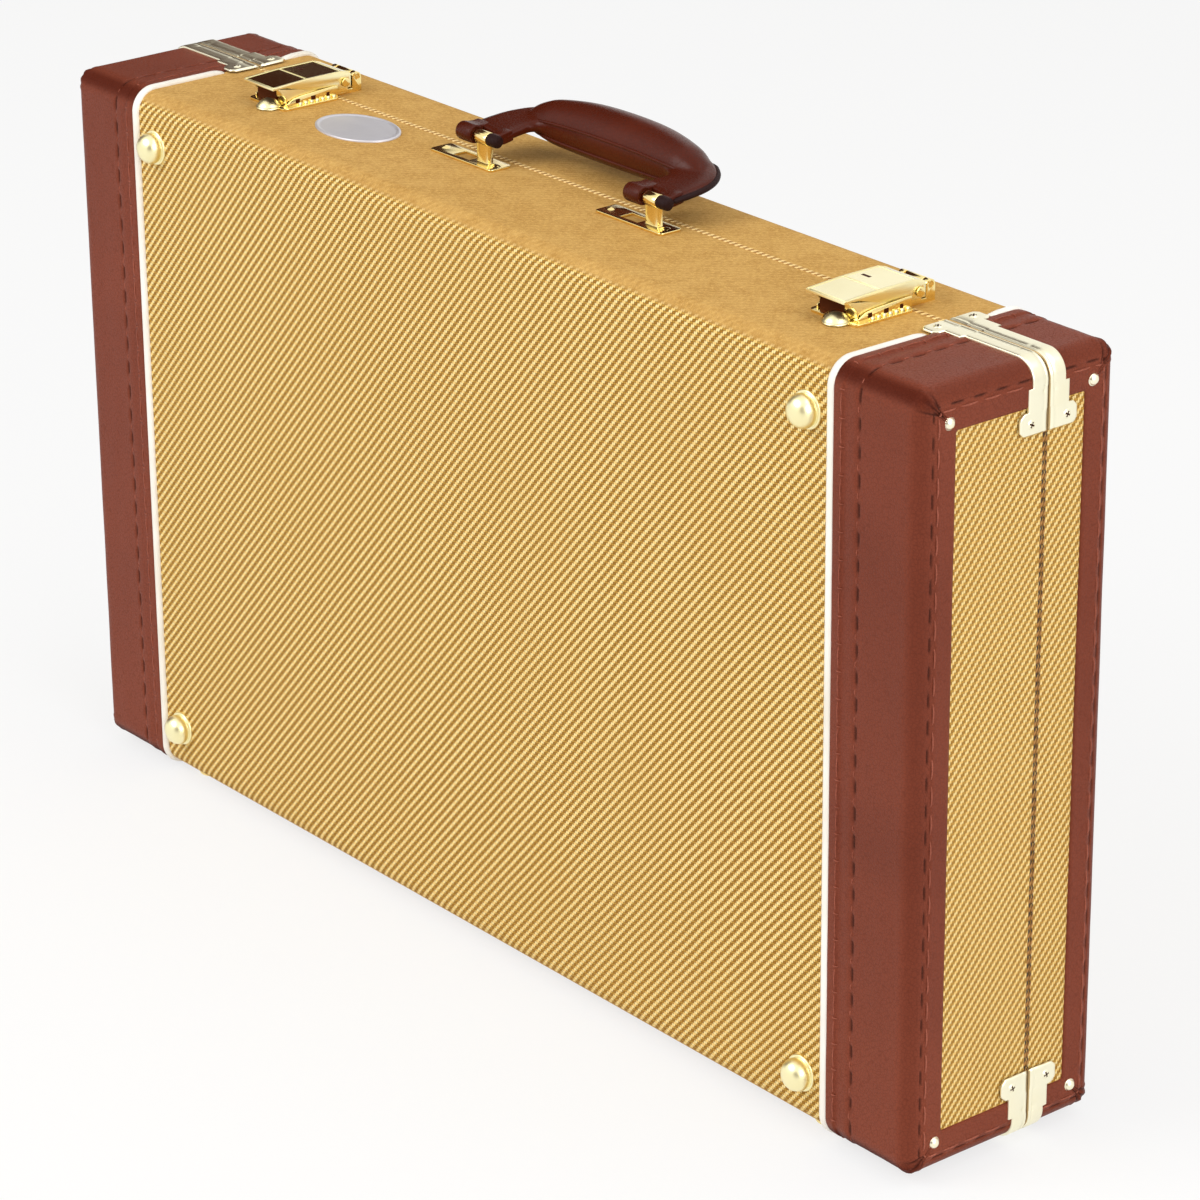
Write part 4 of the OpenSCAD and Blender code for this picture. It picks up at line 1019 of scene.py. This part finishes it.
def handle():
    """Strap and grip melted into one leather shape; returns their rows."""
    strap, grip = arch(EAR, STRAP_MIDDLE), arch(GRIP, GRIP_MIDDLE)
    strap_part = loft(strap, lambda row, a: (row[2] * power(math.cos(a), STRAP_POWER),
                                             row[3] * power(math.sin(a), STRAP_POWER)))
    grip_part = loft(grip, lambda row, a: (row[2] * math.cos(a), row[2] * math.sin(a) + GRIP_OUT))
    piece = add_mesh("handle_leather", *merged([strap_part, grip_part]), "handle", "handle",
                     "handle", ["handle_grip"])
    merge = piece.modifiers.new("merge", "REMESH")
    merge.mode, merge.voxel_size, merge.use_smooth_shade = "VOXEL", VOXEL * MM, True
    relax = piece.modifiers.new("relax", "SMOOTH")
    relax.factor, relax.iterations = 0.5, RELAX_STEPS
    bpy.context.view_layer.update()
    shape = piece.evaluated_get(bpy.context.evaluated_depsgraph_get())
    mesh = bpy.data.meshes.new_from_object(shape)
    mesh.polygons.foreach_set("use_smooth", [True] * len(mesh.polygons))
    piece.modifiers.clear()
    piece.data = mesh
    return strap, grip


def tapered_tube(points, radius, run, least):
    """A tube along points whose radius shrinks over run points at both ends."""
    points, count = np.array(points, float), np.arange(len(points))
    radii = radius * np.clip(np.minimum(count, count[::-1]) / run + least, 0, 1)
    along = np.gradient(points, axis=0)
    along /= np.linalg.norm(along, axis=1, keepdims=True)
    across = np.cross(along, (0.0, math.cos(HANDLE_LEAN), -math.sin(HANDLE_LEAN)))
    across /= np.linalg.norm(across, axis=1, keepdims=True)
    rows = zip(points, across, np.cross(across, along), radii)
    return sweep(rows, WELT_SIDES,
                 lambda row, a: row[0] + row[3] * (math.cos(a) * row[1] + math.sin(a) * row[2]))


def handle_trim(strap, grip):
    """The painted rim round each ear, and the two welts along the grip's underside."""
    strap_sides, grip_sides = arch_sides(strap), arch_sides(grip)
    off, *taper = EAR_RIM
    for tag, keep in (("left", strap[:, 0] < -RIM_FROM), ("right", strap[:, 0] > RIM_FROM)):
        rim = [from_handle(row[0] + n[0] * (row[2] + off), 0.0, row[1] + n[1] * (row[2] + off))
               for row, n in zip(strap[keep], strap_sides[keep])]
        add_mesh(f"handle_rim_{tag}", *tapered_tube(rim, *taper), "rim", "handle", "handle")
    off, *taper = GRIP_WELT
    for tag, degrees in WELT_ANGLES.items():
        c, s = math.cos(math.radians(degrees)), math.sin(math.radians(degrees))
        rows = [from_handle(g[0] + n[0] * (g[2] + off) * c, GRIP_OUT - (g[2] + off) * s,
                            g[1] + n[1] * (g[2] + off) * c)
                for g, n in zip(grip[WELT_SKIP:-WELT_SKIP], grip_sides[WELT_SKIP:-WELT_SKIP])]
        add_mesh(f"handle_welt_{tag}", *tapered_tube(rows, *taper), "handle", "handle",
                 "handle")


LONG_ROLL, SHORT_ROLL = 4.4, 3.0
ROLL_NEAR, LONG_FAR, SHORT_FAR = 4.55, 15.05, 11.55
BORE = 1.75
PLATE_LENGTH = 46.0
ROLL_SIDES, ROLL_CROWN = 36, 0.04
# a roll's end: share of the way from the bore to the outside, and how far it is set in
ROLL_END = [(0.0, 0.5), (0.30, 0.2), (0.42, 0.55), (0.60, 0.1), (0.70, 0.0), (0.92, 0.3),
            (1.0, 1.0)]
# a short roll's closed end: share of its radius and what is added to it, and how far past the end
SHORT_END = [(1.0, 0.0, -0.4), (1.0, -0.15, 0.3), (1.0, -0.7, 0.8), (0.5, 0.0, 1.05),
             (0.0, 0.02, 1.15)]
# a web's rows from the pin up: height, then half width, each as a share of the roll and an addition
WEB_ROWS = [(0.0, 0.8, 1.0, -0.1), (0.7, 0.0, 0.8, 0.0), (1.4, 0.0, 0.0, 2.75),
            (0.0, 9.5, 0.0, 2.6)]
WEB_INSET, WEB_SOFT = 0.5, (0.7, 3)


def knuckles():
    """Rolled leather on the pins: a long roll on one side of each post, a thin short one on the
    other painted dark as shade, each with a web up to the strap."""
    low, high = box_mm("handle_plates")
    pitch, sides = high[0] - low[0] - PLATE_LENGTH, ROLL_SIDES
    for tag, post in (("left", -pitch / 2), ("right", pitch / 2)):
        for part, x0, x1, big in (("long", -LONG_FAR, -ROLL_NEAR, LONG_ROLL),
                                  ("short", ROLL_NEAR, SHORT_FAR, SHORT_ROLL)):
            end = [(BORE + share * (big - BORE), inset) for share, inset in ROLL_END]
            profile = [(r, x0 + inset) for r, inset in end] + [(big + ROLL_CROWN, (x0 + x1) / 2)]
            if part == "long":
                profile += [(r, x1 - inset) for r, inset in end[::-1]]
            else:
                profile += [(share * big + more, x1 + past) for share, more, past in SHORT_END]
            verts = [from_handle(post + x, r * math.cos(TURN * k / sides),
                                 r * math.sin(TURN * k / sides))
                     for r, x in profile for k in range(sides)]
            faces = grid_faces(len(profile), sides, wrap=True)
            last = (len(profile) - 1) * sides
            if part == "long":
                faces += [[last + k, last + (k + 1) % sides, (k + 1) % sides, k]
                          for k in range(sides)]
            else:
                faces.append([last + k for k in range(sides)])
            # the short roll takes the dark edge paint: painted shade where the strap shades it
            add_mesh(f"handle_roll_{tag}_{part}", verts, faces,
                     "handle" if part == "long" else "rim", "handle", "handle")
            near, far = post + x0 + WEB_INSET, post + x1 - WEB_INSET
            web = [from_handle(x, out * (wide * big + wider), up * big + higher)
                   for up, higher, wide, wider in WEB_ROWS
                   for x, out in ((near, -1), (near, 1), (far, 1), (far, -1))]
            soften(add_mesh(f"handle_web_{tag}_{part}", web, tube_faces(4, 4), "handle", "handle",
                            "handle"), *WEB_SOFT)


# ---- latches: outlines are (y, z) from the seam and the tweed's top
TEETH, TOOTH_SHARE, TOOTH_TRIM = 7, 0.66, 0.25
TOOTH_NEAR, TOOTH_FAR, TOOTH_LOW, TOOTH_HIGH = 12.9, 14.2, 0.6, 2.6
FLANGE_BACK, FLANGE_LENGTH = 1.0, 23.0
WALL_NEAR, WALL_FAR = 12.4, 13.2
WALL_OUTLINE = [(-31.0, 1.0), (-31.0, 2.8), (-27.0, 4.8), (-22.0, 5.6), (-4.0, 6.6), (-1.2, 6.6),
                (-1.2, 1.0)]
WALL_SLOTS = [(-26.0, -23.6), (-17.0, -14.4), (-8.0, -6.2)]
RECESS_FROM, RECESS_TO, RECESS_OUTLINE = -11.8, 3.5, rectangle(-30.4, -29.4, 1.3, 8.6)
TAB_X, TAB_Y, TAB_R, TAB_HIGH = 4.0, -35.2, 6.0, 3.6
LEVER_TOP = 12.5
LEVER_LINE = [(-37.4, -1.0), (-18.0, 0.0), (2.0, 0.0), (6.8, -1.5)]
LEVER_RIM = [(-37.4, -1.3), (-37.4, -0.7), (-18.0, 0.28), (2.0, 0.28), (6.8, -1.2), (6.8, -1.8),
             (2.0, -0.3), (-18.0, -0.3)]
WALL_BEVEL, LEVER_BEVEL = 0.25, 0.15
SLOT_LOW, SLOT_HIGH, SLOT_DEEP, SLOT_PROUD = 2.4, 4.4, 0.2, 0.06
RIB_HALF, RIM_NEAR, RIM_FAR, SKIRT_NEAR, SKIRT_FAR = 11.6, 10.9, 11.9, 11.2, 11.85
LEVER_RIBS, RIB = (-18.2, 2.0), [(-0.45, -0.3), (-0.2, 0.3), (0.2, 0.3), (0.45, -0.3)]
PANEL_HALF, PANEL_EDGE, PANEL_LOW, PANEL_HIGH = 10.85, 0.6, -0.1, 0.08
SKIRT = [(-35.0, 10.5), (-18.0, 7.6), (-2.0, 5.6), (-2.0, 4.4), (-18.0, 4.4), (-29.0, 3.6),
         (-31.4, 6.5)]
# the slot on the lever's top: a dark bar of painted shade
SLOT_SHADE_FROM, SLOT_SHADE_TO, SLOT_SHADE_OUTLINE = -8.0, -3.0, rectangle(-11.0, -9.4, -0.3, 0.14)


def tooth(side, y, width):
    """One tooth of a flange, narrower at its top."""
    verts = []
    for z, trim in ((TOOTH_LOW, 0.0), (TOOTH_HIGH, TOOTH_TRIM)):
        near, far = side * (TOOTH_NEAR + trim), side * (TOOTH_FAR - trim)
        start, end = y + trim, y + width - trim
        verts += [(near, start, z), (far, start, z), (far, end, z), (near, end, z)]
    return verts, tube_faces(2, 4)


def lever_panel(start, end):
    """A flat plate on one facet of the lever, short of the facet's ends."""
    (y0, z0), (y1, z1) = start, end
    run = math.hypot(y1 - y0, z1 - z0)
    near, far = [(y0 + (y1 - y0) * t, LEVER_TOP + z0 + (z1 - z0) * t)
                 for t in (PANEL_EDGE / run, 1 - PANEL_EDGE / run)]
    lift = ((z0 - z1) / run, (y1 - y0) / run)
    return slab([(y + lift[0] * up, z + lift[1] * up)
                 for up, ends in ((PANEL_LOW, (near, far)), (PANEL_HIGH, (far, near)))
                 for y, z in ends], -PANEL_HALF, PANEL_HALF)


def latch_trim(tag):
    """What the CAD latch leaves out: toothed flanges, slotted side walls, front plate and domed tab
    on the base plate, with painted shade in the walls' slots and on the front plate's stretch under
    the lever, and ribs, skirts, flat panels and a slot painted in shade on the lever."""
    low, high = box_mm("latch_plate_" + tag)
    middle_x = (low[0] + high[0]) / 2
    lever = "lever_" + tag

    def fit(name, parts, material, body="base", smooth=True, bevel=0.0):
        verts, faces = merged(parts, (middle_x, SEAM_Y, TWEED_TOP))
        piece = add_mesh(f"{name}_{tag}", verts, faces, material, body, "gold", smooth=smooth)
        if bevel:
            soften(piece, bevel)

    def both(outline, near, far):
        return [slab(outline, side * near, side * far) for side in (-1, 1)]

    first = high[1] - SEAM_Y - FLANGE_BACK - FLANGE_LENGTH
    pitch = FLANGE_LENGTH / TEETH
    fit("latch_flanges", [tooth(side, first + pitch * k, pitch * TOOTH_SHARE)
                          for side in (-1, 1) for k in range(TEETH)], "bright_gold")
    fit("latch_walls", both(WALL_OUTLINE, WALL_NEAR, WALL_FAR), "gold", bevel=WALL_BEVEL)
    fit("latch_front", [slab(RECESS_OUTLINE, RECESS_TO + 0.1, -RECESS_FROM)], "gold",
        bevel=WALL_BEVEL)
    dome, rings = lathe([(TAB_R, 0.4), (TAB_R, 1.2)]
                        + dome_profile(TAB_R - 0.1, TAB_HIGH, lift=1.2), 48)
    fit("latch_dome", [([(x + TAB_X, y + TAB_Y, z) for x, y, z in dome], rings)], "bright_gold")
    ribs = [slab([(y + dy, LEVER_TOP + dz) for dy, dz in RIB], -RIB_HALF, RIB_HALF)
            for y in LEVER_RIBS]
    rims = both([(y, LEVER_TOP + dz) for y, dz in LEVER_RIM], RIM_NEAR, RIM_FAR)
    fit("lever_ribs", ribs + rims, "bright_gold", lever, smooth=False, bevel=LEVER_BEVEL)
    skirts = both(SKIRT, SKIRT_NEAR, SKIRT_FAR)
    fit("lever_skirts", skirts, "bright_gold", lever, smooth=False)
    panels = [lever_panel(*ends) for ends in zip(LEVER_LINE, LEVER_LINE[1:])]
    fit("lever_panels", panels, "mirror_gold", lever, smooth=False)
    # painted shade: dark boxes in the walls' slots, and the front plate's stretch under the lever
    dark = [slot for y0, y1 in WALL_SLOTS
            for slot in both(rectangle(y0, y1, SLOT_LOW, SLOT_HIGH), WALL_FAR - SLOT_DEEP,
                             WALL_FAR + SLOT_PROUD)]
    dark.append(slab(RECESS_OUTLINE, RECESS_FROM, RECESS_TO))
    fit("latch_recess_shade", dark, "shadow", smooth=False)
    # painted shade: a dark bar sunk in the lever's top for its slot
    top = box_mm(lever)[1][2] - TWEED_TOP
    mark = slab([(y, top + dz) for y, dz in SLOT_SHADE_OUTLINE], SLOT_SHADE_FROM, SLOT_SHADE_TO)
    fit("lever_slot_shade", [mark], "shadow", lever, smooth=False)


HOLLOW_ABOVE, CHEEK_FROM = TWEED_TOP + 8, 5


def shade_lever_hollow(piece, middle_x):
    """Painted shade in the hollow of a lever: its underside and the inner sides of its cheeks."""
    piece.data.materials.append(MATS["shadow"])
    for face in piece.data.polygons:
        centre, normal = face.center / MM, face.normal
        inner = normal.x * (centre.x - middle_x) < 0 and abs(normal.x) > 0.9
        under = normal.z < -0.7 and centre.z > HOLLOW_ABOVE
        if under or (inner and abs(centre.x - middle_x) > CHEEK_FROM):
            face.material_index = 1


# ---- the badge: a bare brushed oval in a raised rim, its radii as shares of the oval's
BADGE_PROFILE = [(1.0, 0.0), (1.0, 0.7), (0.985, 0.95), (0.96, 1.05), (0.93, 1.0), (0.915, 0.72),
                 (0.90, 0.6), (0.86, 0.62), (0.5, 0.78), (0.02, 0.85)]


def badge():
    low, high = box_mm("badge_plate")
    (cx, cy, _), (half_x, half_y, _) = (low + high) / 2, (high - low) / 2
    disc, faces = lathe(BADGE_PROFILE, 96)
    verts = [(cx + half_x * x, cy + half_y * y, low[2] + z) for x, y, z in disc]
    add_mesh("badge_oval", verts, faces, "silver", "base", "silver", ["badge_plate"])


# ---- inside: wavy foam in the lid, plush and carpet on the rest
FOAM_PITCH, FOAM_DEPTH, FOAM_EDGE, FOAM_SKIN = 30.0, 9.0, 6.0, 0.3


def foam():
    low, high = box_mm("lid_foam")
    xs, zs = np.linspace(low[0], high[0], 200), np.linspace(low[2], high[2], 112)
    cols, rows = len(xs), len(zs)
    verts = []
    for z in zs:
        for x in xs:
            wave = 0.5 + 0.25 * (math.cos(TURN * x / FOAM_PITCH) + math.cos(TURN * z / FOAM_PITCH))
            edge = min(x - xs[0], xs[-1] - x, z - zs[0], zs[-1] - z)
            dip = FOAM_DEPTH * (1 - wave) * min(1.0, edge / FOAM_EDGE)
            verts.append((x, low[1] + FOAM_SKIN + dip, z))
    rim = [(0, c) for c in range(cols)] + [(r, cols - 1) for r in range(1, rows)]
    rim += [(rows - 1 - r, cols - 1 - c) for r, c in rim[1:-1]]
    back, count = len(verts), len(rim)
    verts += [(xs[c], high[1], zs[r]) for r, c in rim]
    faces = grid_faces(rows, cols)
    for k, ((r0, c0), (r1, c1)) in enumerate(zip(rim, rim[1:] + rim[:1])):
        faces.append([r0 * cols + c0, r1 * cols + c1, back + (k + 1) % count, back + k])
    faces.append([back + k for k in range(count)])
    piece = add_mesh("lid_foam_waves", verts, faces, "foam", "lid", "foam", ["lid_foam"])


def dress_cad():
    """Materials for the CAD nodes that stay as they are."""
    for name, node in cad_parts.items():
        if node.hide_render:
            continue
        key = {"board_carpet": "carpet", "rim_strip": "rim"}.get(name, "gold")
        if "wall" in name or "panel" in name or name in ("pedal_board", "board_battens"):
            key = "plywood"
        elif "lining" in name:
            key = "lining"
        node.data.materials.clear()
        node.data.materials.append(MATS[key])


# ---- floor, light and background
FLOOR_GLOW, FLOOR_HALF = 0.75, 9.0
# each dark shape that metal mirrors: its direction, and the cosines where it begins and is full
WALL, WALL_EDGE = ((-0.933, 0.25, 0.259), 0.77, 0.84), ((-0.6115, -0.7912, 0.0), -0.03, 0.028)
CARD, CARD_DARK = ((0.42, -0.88, 0.22), 0.90, 0.96), 0.86
# lamps: name, place, aim, width in metres, power in watts
LAMPS = (("key", (-0.9, -2.4, 2.2), (0, 0, 0.18), 1.8, 48),
         ("fill", (2.6, -0.6, 1.4), (0.1, 0, 0.18), 1.6, 30),
         ("top", (1.2, 0.5, 2.3), (0.2, 0, 0.2), 1.6, 12))


def make_floor():
    n = new_nodes("floor")
    camera = n.make("ShaderNodeLightPath", "Is Camera Ray")
    glossy = n.make("ShaderNodeLightPath", "Is Glossy Ray")
    grey = n.mix(n.noise(3.0, 2.0), (0.88, 0.88, 0.88, 1), (0.90, 0.90, 0.895, 1))
    material = n.surface(Base_Color=grey, Roughness=0.85, Specular_IOR_Level=0.1)
    matte = Wire(n, n.tree.nodes["Principled BSDF"].outputs[0])
    glow = n.make("ShaderNodeEmission", 0)
    share = n.math("MAXIMUM", camera, glossy) * FLOOR_GLOW
    both = n.make("ShaderNodeMixShader", 0, {0: share, 1: matte, 2: glow})
    n.put(n.tree.nodes["Material Output"].inputs["Surface"], both)
    mesh = bpy.data.meshes.new("floor")
    corners = [(x * FLOOR_HALF, y * FLOOR_HALF, 0) for x, y in ((-1, -1), (1, -1), (1, 1), (-1, 1))]
    mesh.from_pydata(corners, [], [[0, 1, 2, 3]])
    mesh.materials.append(material)
    floor = bpy.data.objects.new("floor", mesh)
    bpy.context.scene.collection.objects.link(floor)


def make_stage():
    """Plain floor, soft lamps, and a white world whose reflections hold a dark wall and a card."""
    make_floor()
    world = bpy.data.worlds.new("world")
    bpy.context.scene.world = world
    n = Nodes(world)
    toward = n.make("ShaderNodeTexCoord", "Generated")
    camera = n.make("ShaderNodeLightPath", "Is Camera Ray")
    through = n.make("ShaderNodeLightPath", "Is Transmission Ray")
    glossy = n.make("ShaderNodeLightPath", "Is Glossy Ray")

    def facing(direction, edge, core):
        dot = n.make("ShaderNodeVectorMath", "Value",
                     {0: toward, 1: Vector(direction).normalized()}, operation="DOT_PRODUCT")
        return n.range(dot, edge, core, interpolation_type="SMOOTHSTEP")

    dark = n.math("MAXIMUM", facing(*WALL) * facing(*WALL_EDGE), facing(*CARD) * CARD_DARK)
    seen = n.math("MAXIMUM", n.math("MAXIMUM", camera, through), glossy)
    sky = n.tree.nodes["Background"].inputs
    n.put(sky["Color"], n.mix(dark * glossy, (1.0, 0.99, 0.97, 1), rgb(60, 34, 24)))
    n.put(sky["Strength"], n.range(seen, 0.0, 1.0, 0.55, 1.0, interpolation_type="SMOOTHSTEP"))

    for name, place, aim, width, power_watts in LAMPS:
        light = bpy.data.lights.new(name, "AREA")
        light.energy, light.size = power_watts, width
        lamp = bpy.data.objects.new(name, light)
        lamp.location = place
        toward_aim = Vector(aim) - Vector(place)
        lamp.rotation_euler = toward_aim.to_track_quat("-Z", "Y").to_euler()
        bpy.context.scene.collection.objects.link(lamp)


# ---- everything in its place
make_camera()
for is_lid in (False, True):
    tweed_skin(is_lid)
    clamp_screws(is_lid)
    end_studs(is_lid)
    for end in (1, -1):
        for make in (leather_end, end_stitches, end_window, piping, clamps):
            make(is_lid, end)
seam_cords()
feet()
badge()
handle_trim(*handle())
knuckles()
for where in ("left", "right"):
    bevelled("latch_plate_" + where, "gold", "base", 0.3)
    bevelled("latch_keeper_" + where, "gold", "lid", 0.25)
    bevelled("hasp_" + where, "gold", "hasp_" + where, 0.2)
    lever = bevelled("lever_" + where, "bright_gold", "lever_" + where, 0.35)
    # painted shade in the lever's hollow
    shade_lever_hollow(lever, sum(c[0] for c in box_mm("lever_" + where)) / 2)
    bevelled("lever_pin_" + where, "gold", "hasp_" + where, 0.2)
    latch_trim(where)
bevelled("handle_plates", "gold", "base", 0.25)
bevelled("base_hinge_leaves", "gold", "base", 0.2)
bevelled("lid_hinge_leaves", "gold", "lid", 0.2)
bevelled("base_glides", "gold", "base", 0.6, 3)
bevelled("lid_glides", "gold", "lid", 0.6, 3)
foam()
dress_cad()
make_stage()

bpy.context.scene.view_settings.view_transform = "Standard"
